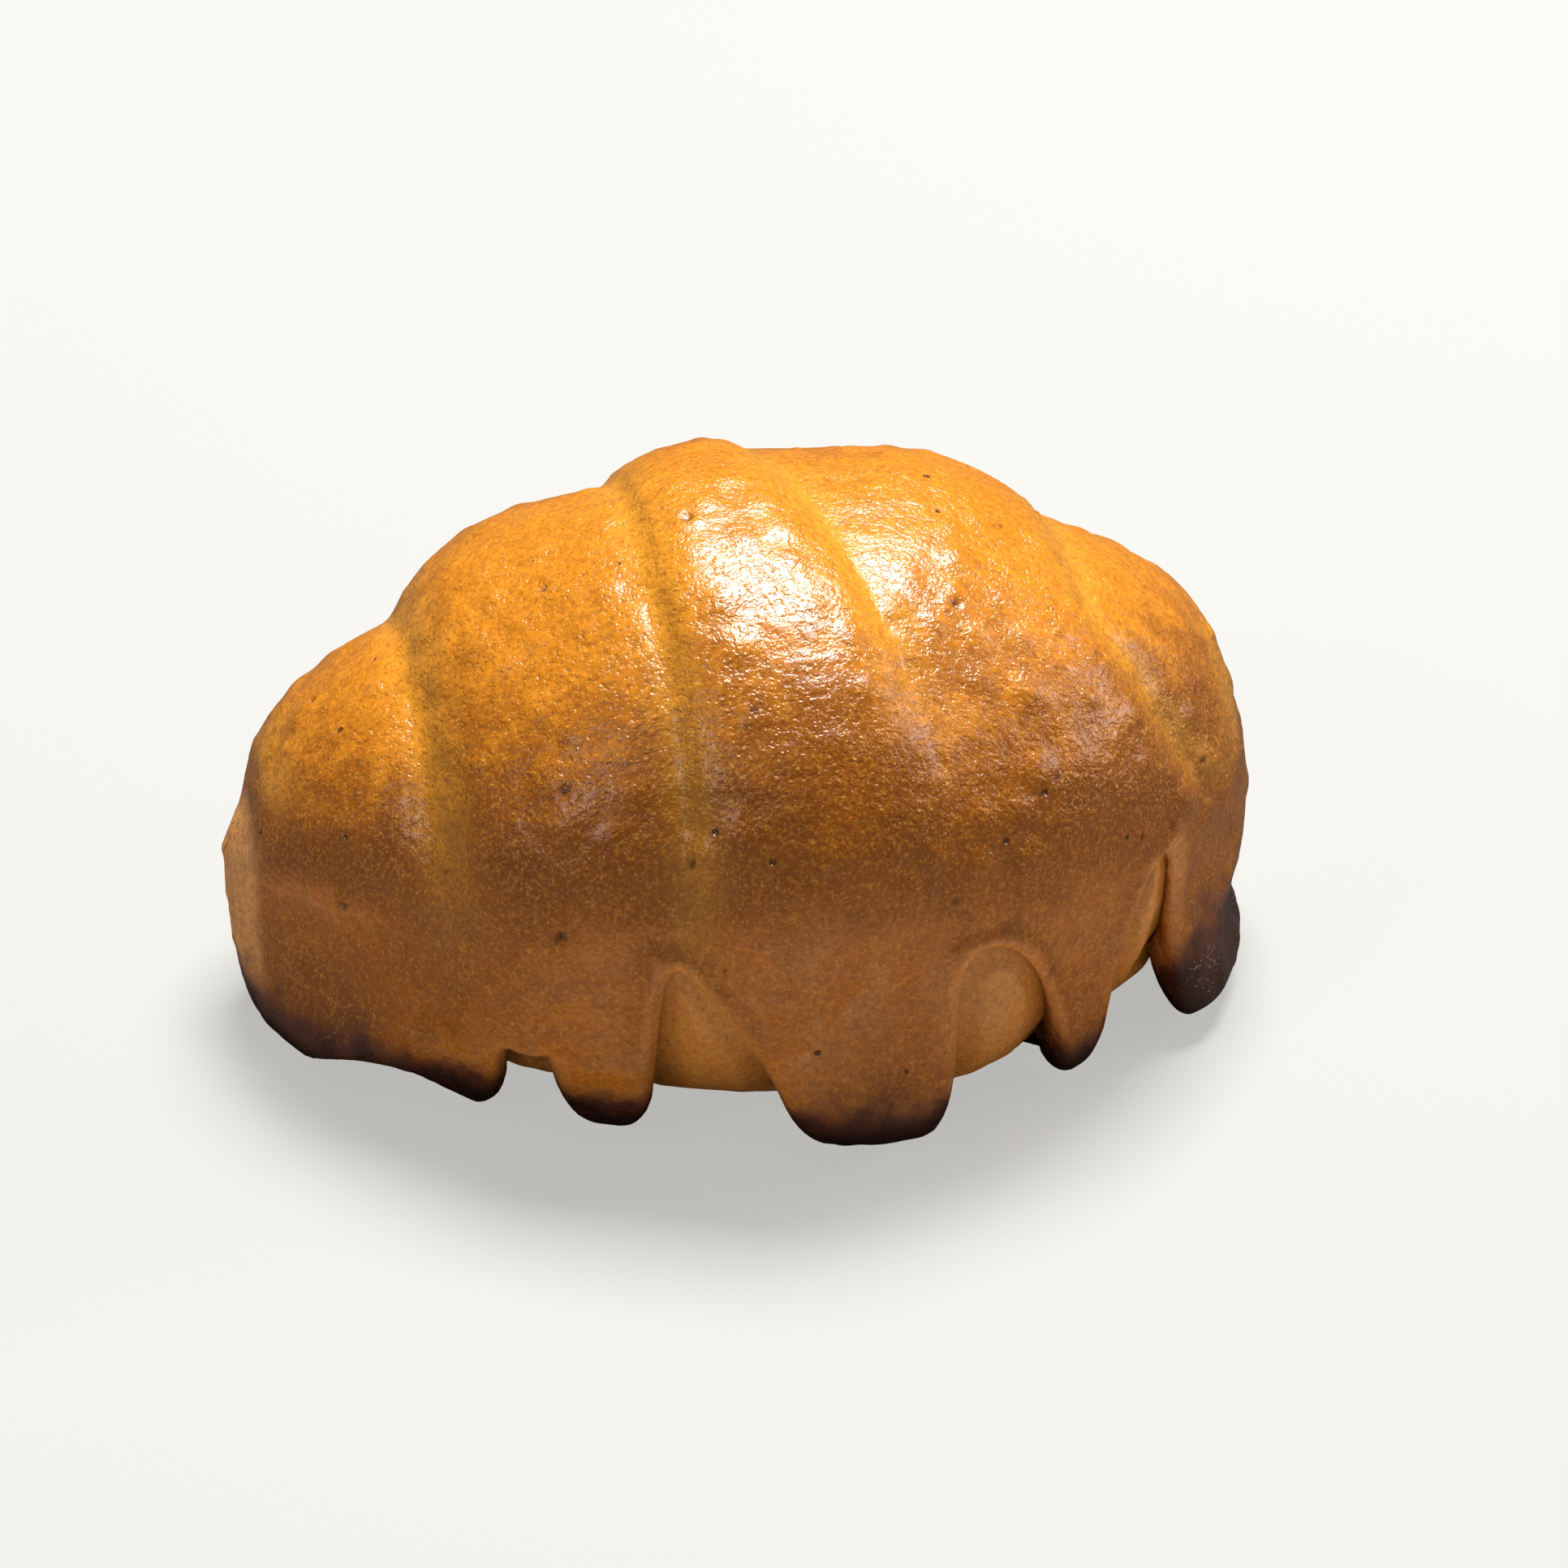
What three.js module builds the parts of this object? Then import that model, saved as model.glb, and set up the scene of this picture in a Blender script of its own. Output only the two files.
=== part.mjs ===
import * as THREE from 'three';

// Salt butter roll under a baked topping coat, millimetres, +Z up, +X along the roll, -Y the front.
// A strip of dough is rolled up into a crescent with stepped bands.
// A poured coat covers it and runs down into drips that stand as feet on the tray.

// Sizes of the dough roll
const HALF_LENGTH = 55.5;
const HALF_WIDTH = 36.3;
const HEIGHT = 60.4;
const AXIS_HEIGHT = 29.6;
const TIP_HEIGHT = 19;
const END_BEND = 9;

// How bluntly the width, the upper height and the lower height fall off towards the two ends
const WIDTH_TAPER = { left: { fall: 1.8, power: 0.62 }, right: { fall: 2.1, power: 0.6 } };
const UPPER_TAPER = { left: { fall: 1.7, power: 0.73 }, right: { fall: 1.4, power: 0.44 } };
const LOWER_TAPER = { left: { fall: 4, power: 0.47 }, right: { fall: 4.5, power: 0.47 } };
const CURTAIN_TAPER = { left: { fall: 7, power: 0.47 }, right: { fall: 14, power: 0.47 } };

// Section below the middle line: a rounded square, the bottom cut flat by the tray.
// The squareness is fullest at one place along the roll.
const UPPER_SQUARE = 2;
const DOUGH_SQUARE = { plain: 1.85, extra: 1.05, at: 10, spread: 22 };
const DOUGH_SINK = 0.8;

// Seams between the bands: distance from the middle of the centre band on top of the roll,
// how far they lean outwards over half a turn below the section angle they lean from,
// the depth of the groove along them, and the sines of the section angles that they end between
const BAND_CENTRE = -6;
const ALL_ROUND = { gone: -2, whole: -1 };
const TOP_ONLY = { gone: 0.45, whole: 0.85 };
const SEAMS = {
  left: [
    { out: 6.8, lean: 0, from: 90, groove: 0, ends: ALL_ROUND },
    { out: 30.8, lean: 0, from: 90, groove: 1, ends: ALL_ROUND },
    { out: 46.8, lean: 4, from: 90, groove: 0, ends: ALL_ROUND },
  ],
  right: [
    { out: 7.8, lean: 24, from: 115, groove: 0, ends: TOP_ONLY },
    { out: 39.5, lean: 44, from: 66, groove: 0, ends: ALL_ROUND },
    { out: 59, lean: 0, from: 90, groove: 0, ends: ALL_ROUND },
  ],
};
const BAND_STEP = 2.1;
const BAND_LIP = 5;
const BAND_SINK = 2.4;
const GROOVE_SPREAD = 3.5;
const TIP_DROP = 2;
const SEAM_FADE = { from: -0.5, to: 0.45 };
const SEAM_BLUR = { dough: 0.6, coat: 1.8 };
const SEAM_SHARE = { dough: 1, coat: 0.9 };
const BLUR_TAPS = 7;

// Unevenness of a hand-rolled dough: waves along the roll that wind a whole number of times round it
const WAVES = [
  { height: 0.45, length: 41, winds: 2, start: 0.7 },
  { height: 0.4, length: 27, winds: -3, start: 2.1 },
  { height: 0.3, length: 67, winds: 1, start: 4 },
];

// How soon relief and thickness reach their full size away from a tip, and how they pass over it
const RELIEF_RISE = 5;
const THICK_RISE = 4;
const THICK_END = 6;

// Crease round the right end, above the last drip
const WAIST = { depth: 2.8, height: 8.5, spread: 4 };

// Coat over the dough, squarer below so that its drips hang and stand on feet
const COAT = 2;
const FIT_GAP = 0.3;
const DRIP_SINK = 3;
const DRIP_SQUARE = { plain: 2.8, extra: 1.6, at: 6, spread: 14 };
const LIP_RADIUS = 2;
const LIP_LIMIT = 3.8;
const LIP_RING = 1;
const UNDER_OPENING = { side: 0.6, end: 0.9, sideRound: 4, endRound: 10, square: 2.4, fall: 25, below: -0.5 };
const EDGE_FAR = 40;

// Feet of the drips: the round under them, the height they swell at and the neck above,
// how much of the swelling goes out at the two ends, and the swelling of each along the roll
const TOE = 5;
const FOOT = { height: 4.5, spread: 6 };
const NECK = { height: 19, share: 0.25 };
const FLARE = { left: 0.22, right: 0.4 };
const FRONT_FEET = [
  { x: -49, swell: 6.5, spread: 6 },
  { x: -36, swell: -1.8, spread: 6 },
  { x: -20, swell: -0.2, spread: 6 },
  { x: 8, swell: 2.2, spread: 12 },
  { x: 29.5, swell: 2.8, spread: 5 },
  { x: 47.5, swell: 6, spread: 6.5 },
];
const BACK_FEET = [
  { x: -43, swell: 2.5, spread: 6 },
  { x: -25, swell: 3, spread: 6 },
  { x: -6, swell: 2.5, spread: 6 },
  { x: 12, swell: 3, spread: 6 },
  { x: 30, swell: 3, spread: 6 },
  { x: 45, swell: 3, spread: 5 },
];

// Gaps between the drips: place along the roll, half width, height, roundness of the top,
// lean, and turn away from square to the outline in degrees.
// Then their depth under the roll and the round of the drips' lower corners.
const FRONT_GAPS = [
  { x: -41.4, half: 6, high: 3, round: 1.7, lean: 0, turn: 0 },
  { x: -27.2, half: 2.4, high: 11.5, round: 3.4, lean: 0, turn: 24 },
  { x: -8.9, half: 6.9, high: 25.5, round: 1.5, lean: -0.18, turn: 0 },
  { x: 18.6, half: 6.8, high: 25.5, round: 2.2, lean: -0.16, turn: 0 },
  { x: 37.4, half: 3.8, high: 28, round: 2.3, lean: 0.06, turn: -24 },
];
const BACK_GAPS = [
  { x: -50.5, half: 3.4, high: 12, round: 2, lean: 0, turn: 0 },
  { x: -34, half: 4.2, high: 16, round: 1.6, lean: 0, turn: 0 },
  { x: -15.5, half: 5.4, high: 22, round: 1.5, lean: 0.12, turn: 0 },
  { x: 4, half: 4, high: 9, round: 2.4, lean: 0, turn: 0 },
  { x: 21, half: 6, high: 23, round: 1.8, lean: -0.1, turn: 0 },
  { x: 38, half: 3.6, high: 11, round: 2, lean: 0, turn: 0 },
  { x: 50, half: 3.4, high: 14, round: 1.8, lean: 0, turn: 0 },
];
const GAP_REACH = { depth: 22, round: 4 };
const DRIP_CORNER = 4.2;
const FRONT_FOOT_ANGLE = THREE.MathUtils.degToRad(-45);
const BACK_FOOT_ANGLE = THREE.MathUtils.degToRad(225);
const TANGENT_STEP = 0.02;
const TINY = 1e-6;

// Mesh density: rows along the roll, columns round each section, the least angle of the flat bottom,
// and the halvings that find where the coat meets the tray
const ROWS = 54;
const COLUMNS = { bottom: 3, side: 12, top: 13 };
const FLAT_LEAST = THREE.MathUtils.degToRad(8);
const TRAY_HALVINGS = 30;
const SHOULDER_ANGLE = THREE.MathUtils.degToRad(8);
const CUT_MARGIN = 0.12;

// Finishes
const DOUGH_COLOUR = 0xd9a25c;
const DOUGH_ROUGHNESS = 0.62;
const COAT_COLOUR = 0xb96f22;
const COAT_ROUGHNESS = 0.42;

const QUARTER = Math.PI / 2;

// Share of the full size that is left at place s along the roll, 0 at the two tips
function taper(s, ends) {
  const end = s < 0 ? ends.left : ends.right;
  return Math.max(1 - Math.abs(s) ** end.fall, 0) ** end.power;
}

// Smooth hill of height 1
function hill(value, at, spread) {
  return Math.exp(-(((value - at) / spread) ** 2));
}

// Quarter-round rise at the edge of a band, levelled out where its seam is not sharp
function bandEdge(inside, sharp) {
  const t = THREE.MathUtils.clamp(inside / BAND_LIP, 0, 1);
  return 1 - sharp * (1 - Math.sqrt(Math.max(1 - (1 - t) ** 2, 0)));
}

// Height of the bands at a distance from the centre: each rises at its outer edge, sinks under the next one
function bandStep(away, places, sharp) {
  if (away < places[0]) {
    return BAND_STEP * bandEdge(places[0] - away, sharp[0]);
  }
  for (let i = 1; i < places.length; i += 1) {
    if (away < places[i]) {
      const inside = places[i] - away;
      const width = places[i] - places[i - 1];
      return BAND_STEP * (bandEdge(inside, sharp[i]) - sharp[i - 1] * (inside / width) ** BAND_SINK);
    }
  }
  return -TIP_DROP;
}

// Height of the band relief with the grooves along its seams
function bandHeight(x, theta) {
  const seams = x < BAND_CENTRE ? SEAMS.left : SEAMS.right;
  const away = Math.abs(x - BAND_CENTRE);
  const degrees = THREE.MathUtils.radToDeg(theta);
  const places = seams.map((seam) => seam.out + (seam.lean * Math.max(seam.from - degrees, 0)) / 180);
  const sharp = seams.map(({ ends }) => THREE.MathUtils.smoothstep(Math.sin(theta), ends.gone, ends.whole));
  let height = bandStep(away, places, sharp);
  seams.forEach((seam, i) => {
    height -= seam.groove * hill(away, places[i], GROOVE_SPREAD);
  });
  return height;
}

// Band relief softened along the roll and faded out under it
function relief(x, theta, share, blur) {
  const fade = THREE.MathUtils.smoothstep(Math.sin(theta), SEAM_FADE.from, SEAM_FADE.to);
  let sum = 0;
  for (let i = 0; i < BLUR_TAPS; i += 1) {
    const shift = blur * ((2 * i) / (BLUR_TAPS - 1) - 1);
    sum += bandHeight(x + shift, theta);
  }
  return (share * fade * sum) / BLUR_TAPS;
}

// Height of the waves at a place
function unevenness(x, theta) {
  let sum = 0;
  for (const wave of WAVES) {
    sum += wave.height * Math.sin((2 * Math.PI * x) / wave.length + wave.winds * theta + wave.start);
  }
  return sum;
}

// Radius of a rounded square of the given squareness at a section angle
function squareRadius(theta, square) {
  return (Math.abs(Math.cos(theta)) ** square + Math.abs(Math.sin(theta)) ** square) ** (-1 / square);
}

// Squareness of a section along the roll
function squareness(x, square) {
  return square.plain + square.extra * hill(x, square.at, square.spread);
}

// How far a drip swells out at a place along the roll and a height
function swelling(x, z, feet) {
  let sum = 0;
  for (const foot of feet) {
    sum += foot.swell * hill(x, foot.x, foot.spread);
  }
  return sum * (hill(z, FOOT.height, FOOT.spread) - NECK.share * hill(z, NECK.height, FOOT.spread));
}

// How far a round of the given radius under a drip draws its side in at a height
function roundInset(z, radius) {
  const low = radius - THREE.MathUtils.clamp(z, 0, radius);
  return radius - Math.sqrt(Math.max(radius ** 2 - low ** 2, 0));
}

// Height of the middle line of the section at place s along the roll
function axisHeight(s) {
  return TIP_HEIGHT + (AXIS_HEIGHT - TIP_HEIGHT) * taper(s, UPPER_TAPER);
}

// Growth of a surface over the dough at place s along the roll
function growth(s, form) {
  return form.grow * Math.min(taper(s, WIDTH_TAPER) * THICK_RISE, 1);
}

// Height of a surface below the middle line, which the tray cuts off at 0
function lowerHeight(s, theta, form) {
  const drop = (AXIS_HEIGHT + form.sink) * taper(s, form.lowerTaper) + growth(s, form);
  const radius = squareRadius(theta, squareness(HALF_LENGTH * s, form.square));
  return axisHeight(s) + drop * Math.sin(theta) * radius;
}

// Point of a roll-shaped surface at profile angle phi and section angle theta
function rollPoint(phi, theta, form) {
  const s = Math.sin(phi);
  const x = HALF_LENGTH * s;
  const wide = taper(s, WIDTH_TAPER);
  const cosine = Math.cos(theta);
  const sine = Math.sin(theta);
  const below = sine < 0;
  const radius = squareRadius(theta, below ? squareness(x, form.square) : UPPER_SQUARE);
  const bumps = relief(x, theta, form.share, form.blur) + unevenness(x, theta);
  const raised = bumps * Math.min(wide * RELIEF_RISE, 1);
  const grown = growth(s, form);
  const halfWidth = Math.max(HALF_WIDTH * wide + raised, 0) + grown;
  const rise = Math.max((HEIGHT - AXIS_HEIGHT) * taper(s, UPPER_TAPER) + raised, 0) + grown;
  const z = below ? lowerHeight(s, theta, form) : axisHeight(s) + rise * sine * radius;
  const inset = roundInset(z, form.toe);
  const swell = swelling(x, z, cosine > 0 ? form.frontFeet : form.backFeet);
  const side = halfWidth * cosine * radius;
  const lateral = side * (1 - (inset - swell) / (Math.abs(side) + form.toe + TINY));
  const flare = s < 0 ? FLARE.left : FLARE.right;
  const waist = s < 0 ? 0 : WAIST.depth * hill(z, WAIST.height, WAIST.spread);
  const outward = form.grow - inset + flare * swell - waist;
  return new THREE.Vector3(
    x + Math.sign(s) * outward * Math.abs(s) ** THICK_END,
    END_BEND * s * s - lateral,
    Math.max(z, 0),
  );
}

// The dough, the hollow of the coat that lies on it, and the full outside of the coat
const DOUGH_FORM = {
  grow: 0,
  share: SEAM_SHARE.dough,
  blur: SEAM_BLUR.dough,
  square: DOUGH_SQUARE,
  sink: DOUGH_SINK,
  lowerTaper: LOWER_TAPER,
  toe: 0,
  frontFeet: [],
  backFeet: [],
};
const HOLLOW_FORM = { ...DOUGH_FORM, grow: FIT_GAP };
const OUTSIDE_FORM = {
  grow: COAT,
  share: SEAM_SHARE.coat,
  blur: SEAM_BLUR.coat,
  square: DRIP_SQUARE,
  sink: DRIP_SINK,
  lowerTaper: CURTAIN_TAPER,
  toe: TOE,
  frontFeet: FRONT_FEET,
  backFeet: BACK_FEET,
};

// Frame of a gap: its foot point on the tray, its direction along the outline, turned,
// and its depth, at most to the middle line of the roll
function gapFrame(gap, footAngle) {
  const phi = Math.asin(gap.x / HALF_LENGTH);
  const foot = rollPoint(phi, footAngle, OUTSIDE_FORM);
  const next = rollPoint(phi + TANGENT_STEP, footAngle, OUTSIDE_FORM);
  const heading = Math.atan2(next.y - foot.y, next.x - foot.x) + THREE.MathUtils.degToRad(gap.turn);
  const along = new THREE.Vector2(Math.cos(heading), Math.sin(heading));
  const depth = Math.min(GAP_REACH.depth, Math.abs(foot.y - END_BEND * Math.sin(phi) ** 2));
  return { ...gap, foot, along, depth };
}

const GAPS = [
  ...FRONT_GAPS.map((gap) => gapFrame(gap, FRONT_FOOT_ANGLE)),
  ...BACK_GAPS.map((gap) => gapFrame(gap, BACK_FOOT_ANGLE)),
];

// Distance in mm from a point of the coat to the rim of a gap, negative inside the gap.
// The rim widens at the tray, so that the drips end in round corners.
function gapDistance(point, gap) {
  const dx = point.x - gap.foot.x;
  const dy = point.y - gap.foot.y;
  const along = dx * gap.along.x + dy * gap.along.y - (gap.lean * point.z ** 2) / gap.high;
  const across = dy * gap.along.x - dx * gap.along.y;
  const a = Math.abs(along / gap.half) ** gap.round;
  const b = Math.abs(point.z / gap.high) ** gap.round;
  const reach = (a + b) ** (1 / gap.round);
  const slope = (gap.round - 1) / gap.round;
  const steep = Math.hypot(a ** slope / gap.half, b ** slope / gap.high);
  const gradient = steep / Math.max((a + b) ** slope, TINY);
  const least = 1 / Math.hypot(gap.half, gap.high);
  const rim = (reach + (across / gap.depth) ** GAP_REACH.round - 1) / Math.max(gradient, least);
  return rim - roundInset(point.z, DRIP_CORNER);
}

// Distance in mm to the edge of the coat, positive where the coat lies
function coverDistance(phi, theta, outside) {
  let distance = EDGE_FAR;
  if (Math.sin(theta) < UNDER_OPENING.below) {
    const side = Math.abs(Math.cos(theta)) * squareRadius(theta, UNDER_OPENING.square);
    const a = (side / UNDER_OPENING.side) ** UNDER_OPENING.sideRound;
    const b = (Math.abs(Math.sin(phi)) / UNDER_OPENING.end) ** UNDER_OPENING.endRound;
    distance = ((a + b) ** (1 / UNDER_OPENING.sideRound) - 1) * UNDER_OPENING.fall;
  }
  for (const gap of GAPS) {
    distance = Math.min(distance, gapDistance(outside, gap));
  }
  return distance;
}

// Outside of the coat at one place, drawn in to the dough round its edge
function coatPoint(hollow, outside, distance) {
  const thick = outside.distanceTo(hollow);
  const lip = THREE.MathUtils.clamp(thick, LIP_RADIUS, LIP_LIMIT);
  const t = THREE.MathUtils.clamp(distance / lip, 0, 1);
  return hollow.clone().lerp(outside, Math.sqrt(1 - (1 - t) ** 2));
}

// Section angle where the coat meets the tray on a row of the grid
function trayAngle(phi) {
  let under = FLAT_LEAST - QUARTER;
  let over = 0;
  if (lowerHeight(Math.sin(phi), under, OUTSIDE_FORM) > 0) {
    return under;
  }
  for (let i = 0; i < TRAY_HALVINGS; i += 1) {
    const middle = (under + over) / 2;
    if (lowerHeight(Math.sin(phi), middle, OUTSIDE_FORM) > 0) {
      over = middle;
    } else {
      under = middle;
    }
  }
  return over;
}

// Section angles of a row: few on the tray, many where the drips hang, fewer over the top
function sectionAngles(phi) {
  const tray = trayAngle(phi);
  const spread = (from, to, count) => {
    const angles = [];
    for (let i = 0; i < count; i += 1) {
      angles.push(from + ((to - from) * i) / count);
    }
    return angles;
  };
  return [
    ...spread(-QUARTER, tray, COLUMNS.bottom),
    ...spread(tray, SHOULDER_ANGLE, COLUMNS.side),
    ...spread(SHOULDER_ANGLE, Math.PI - SHOULDER_ANGLE, COLUMNS.top),
    ...spread(Math.PI - SHOULDER_ANGLE, Math.PI - tray, COLUMNS.side),
    ...spread(Math.PI - tray, 3 * QUARTER, COLUMNS.bottom),
  ];
}

// Grid of places on the roll: one at each tip, a ring of columns on every row between
function rollGrid() {
  const places = [{ phi: -QUARTER, theta: 0 }];
  for (let row = 1; row < ROWS; row += 1) {
    const phi = -QUARTER + (Math.PI * row) / ROWS;
    for (const theta of sectionAngles(phi)) {
      places.push({ phi, theta });
    }
  }
  places.push({ phi: QUARTER, theta: 0 });
  const count = 2 * (COLUMNS.bottom + COLUMNS.side) + COLUMNS.top;
  const ring = (row, column) => 1 + (row - 1) * count + (column % count);
  const triangles = [];
  for (let column = 0; column < count; column += 1) {
    triangles.push([0, ring(1, column), ring(1, column + 1)]);
    triangles.push([places.length - 1, ring(ROWS - 1, column + 1), ring(ROWS - 1, column)]);
    for (let row = 1; row < ROWS - 1; row += 1) {
      const a = ring(row, column);
      const b = ring(row + 1, column);
      const c = ring(row + 1, column + 1);
      const d = ring(row, column + 1);
      triangles.push([a, b, c]);
      triangles.push([a, c, d]);
    }
  }
  return { places, triangles };
}

// Geometry from points and triangles
function geometryOf(points, triangles) {
  const geometry = new THREE.BufferGeometry();
  const values = points.flatMap((point) => [point.x, point.y, point.z]);
  geometry.setAttribute('position', new THREE.Float32BufferAttribute(values, 3));
  geometry.setIndex(triangles.flat());
  geometry.computeVertexNormals();
  return geometry;
}

// The dough roll: the whole grid as one closed body
function doughGeometry(grid) {
  const points = grid.places.map(({ phi, theta }) => rollPoint(phi, theta, DOUGH_FORM));
  return geometryOf(points, grid.triangles);
}

// Corner of the coat where it crosses a distance from its edge, kept clear of the two ends
function crossing(from, to, distance) {
  const [low, high] = from.key < to.key ? [from, to] : [to, from];
  const share = (distance - low.distance) / (high.distance - low.distance);
  const t = THREE.MathUtils.clamp(share, CUT_MARGIN, 1 - CUT_MARGIN);
  return {
    key: `${low.key}/${high.key}/${distance}`,
    hollow: low.hollow.clone().lerp(high.hollow, t),
    outside: low.outside.clone().lerp(high.outside, t),
    distance,
  };
}

// Part of a loop of corners that lies beyond a distance from the edge, or short of it
function cutLoop(loop, distance, beyond) {
  const kept = [];
  loop.forEach((corner, k) => {
    const next = loop[(k + 1) % loop.length];
    const here = corner.distance - distance;
    const there = next.distance - distance;
    if (here === 0 || here > 0 === beyond) {
      kept.push(corner);
    }
    if (here * there < 0) {
      kept.push(crossing(corner, next, distance));
    }
  });
  return kept;
}

// The coat: the grid cut along its edge, a second ring round the lip, outside and hollow joined on the cut
function coatGeometry(grid) {
  const corners = grid.places.map(({ phi, theta }, i) => {
    const hollow = rollPoint(phi, theta, HOLLOW_FORM);
    const outside = rollPoint(phi, theta, OUTSIDE_FORM);
    const distance = coverDistance(phi, theta, outside);
    return { key: `${i}`, hollow, outside, distance };
  });
  const points = [];
  const numbers = new Map();
  const number = (key, place) => {
    if (!numbers.has(key)) {
      numbers.set(key, points.push(place()) - 1);
    }
    return numbers.get(key);
  };
  const edgeAt = (corner) => number(`${corner.key} edge`, () => corner.hollow);
  const outerAt = (corner) => {
    if (corner.distance === 0) {
      return edgeAt(corner);
    }
    const place = () => coatPoint(corner.hollow, corner.outside, corner.distance);
    return number(`${corner.key} outer`, place);
  };
  const innerAt = (corner) => {
    if (corner.distance === 0) {
      return edgeAt(corner);
    }
    return number(`${corner.key} inner`, () => corner.hollow);
  };
  const triangles = [];
  for (const triangle of grid.triangles) {
    const covered = cutLoop(triangle.map((i) => corners[i]), 0, true);
    const inner = covered.map(innerAt);
    for (let k = 1; k + 1 < inner.length; k += 1) {
      triangles.push([inner[0], inner[k + 1], inner[k]]);
    }
    for (const beyond of [true, false]) {
      const outer = cutLoop(covered, LIP_RING, beyond).map(outerAt);
      for (let k = 1; k + 1 < outer.length; k += 1) {
        triangles.push([outer[0], outer[k], outer[k + 1]]);
      }
    }
  }
  return geometryOf(points, triangles);
}

// Named mesh with its own finish
function meshOf(name, geometry, color, roughness) {
  const material = new THREE.MeshStandardMaterial({ color, roughness, metalness: 0 });
  const mesh = new THREE.Mesh(geometry, material);
  mesh.name = name;
  return mesh;
}

const grid = rollGrid();
const group = new THREE.Group();
group.name = 'salt_butter_roll';
group.add(meshOf('dough_roll', doughGeometry(grid), DOUGH_COLOUR, DOUGH_ROUGHNESS));
group.add(meshOf('topping_coat', coatGeometry(grid), COAT_COLOUR, COAT_ROUGHNESS));

export default group;
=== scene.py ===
"""Salt butter roll under a baked topping coat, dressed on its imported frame.

Shapes are worked out in millimetres and become metres when a mesh is made.
"""

import logging
import math
from dataclasses import asdict, dataclass, replace
from enum import Enum
from functools import reduce

import bpy
import numpy as np
from bpy.types import Material, Node, NodeSocket, NodeTree, Object
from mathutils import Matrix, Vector


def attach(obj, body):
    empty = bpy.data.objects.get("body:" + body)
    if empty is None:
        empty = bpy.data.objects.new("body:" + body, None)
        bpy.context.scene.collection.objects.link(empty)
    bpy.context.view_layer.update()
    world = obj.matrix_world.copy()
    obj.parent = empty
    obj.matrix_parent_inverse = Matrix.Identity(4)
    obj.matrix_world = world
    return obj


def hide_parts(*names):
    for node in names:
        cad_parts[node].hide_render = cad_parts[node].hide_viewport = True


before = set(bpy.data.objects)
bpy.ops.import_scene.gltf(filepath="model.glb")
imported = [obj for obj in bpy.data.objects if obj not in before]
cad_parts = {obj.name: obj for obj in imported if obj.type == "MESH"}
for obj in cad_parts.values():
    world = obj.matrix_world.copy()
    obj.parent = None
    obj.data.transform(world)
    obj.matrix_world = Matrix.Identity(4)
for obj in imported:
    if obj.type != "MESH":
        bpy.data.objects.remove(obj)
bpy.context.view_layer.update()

MM = 0.001
QUARTER = math.pi / 2
TINY = 1e-6
NOISE_MIDDLE = 0.5
LOG = logging.getLogger("salt_butter_roll")

Array = np.ndarray
Colour = tuple[float, float, float]
Place = tuple[float, float, float]
Span = tuple[float, float]
Feed = NodeSocket | float | Colour


class Flank(Enum):
    """Long side of the roll that a gap stands on, as the section angle of its foot."""

    FRONT = math.radians(-45)
    BACK = math.radians(225)


def smooth(value: Array, low: float, high: float | Array) -> Array:
    """Smooth step of values from 0 at low to 1 at high."""
    t = np.clip((value - low) / (high - low), 0, 1)
    return t * t * (3 - 2 * t)


def hump(value: Array, middle: float | Array, spread: float) -> Array:
    """Smooth hump of values, 1 in the middle and nearly 0 at twice the spread."""
    return np.exp(-(((value - middle) / spread) ** 2))


def square_radius(theta: Array, square: float | Array) -> Array:
    """Radius at section angles of a unit circle that is drawn out towards a square."""
    return (np.abs(np.cos(theta)) ** square + np.abs(np.sin(theta)) ** square) ** (-1 / square)


def round_inset(high: Array, radius: float) -> Array:
    """How far a round lower edge draws a side in at heights over the tray."""
    low = radius - np.clip(high, 0, radius)
    return radius - np.sqrt(np.maximum(radius**2 - low**2, 0))


def labelled(sizes: dict[str, object]) -> dict[str, object]:
    """Sizes by the name of their node input, such as Grain Size for grain_size."""
    return {name.replace("_", " ").title(): size for name, size in sizes.items()}


@dataclass(frozen=True)
class Taper:
    """How bluntly a size falls off towards the two ends of the roll."""

    left_fall: float
    left_power: float
    right_fall: float
    right_power: float

    def share(self, s: Array) -> Array:
        """Share of the full size that is left along the roll.

        Args:
            s: Places along the roll, from -1 at the left tip to 1 at the right.

        Returns:
            Shares from 0 at the tips to 1 in the middle.
        """
        fall = np.where(s < 0, self.left_fall, self.right_fall)
        power = np.where(s < 0, self.left_power, self.right_power)
        return np.maximum(1 - np.abs(s) ** fall, 0) ** power


@dataclass(frozen=True)
class Seam:
    """Edge of a band: distance from the centre band on top, and its lean further down.

    Gone and whole are sines of the section angle. By default the seam is whole all round.
    """

    out: float
    lean: float = 0.0
    start: float = 90.0
    groove: float = 0.0
    gone: float = -2.0
    whole: float = -1.0

    def strength(self, theta: Array) -> Array:
        """How sharp the seam is at section angles, from 0 where it is gone to 1 where it is whole."""
        return smooth(np.sin(theta), self.gone, self.whole)

    def place(self, theta: Array) -> Array:
        """Distance of the seam from the middle of the centre band at section angles."""
        return self.out + self.lean * np.maximum(self.start - np.degrees(theta), 0) / 180


@dataclass(frozen=True)
class Wave:
    """Unevenness that runs along the roll and winds round it."""

    height: float
    length: float
    winds: int
    start: float

    def at(self, x: Array, theta: Array) -> Array:
        """Height of the wave at places on the roll."""
        return self.height * np.sin(2 * math.pi * x / self.length + self.winds * theta + self.start)


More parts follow.
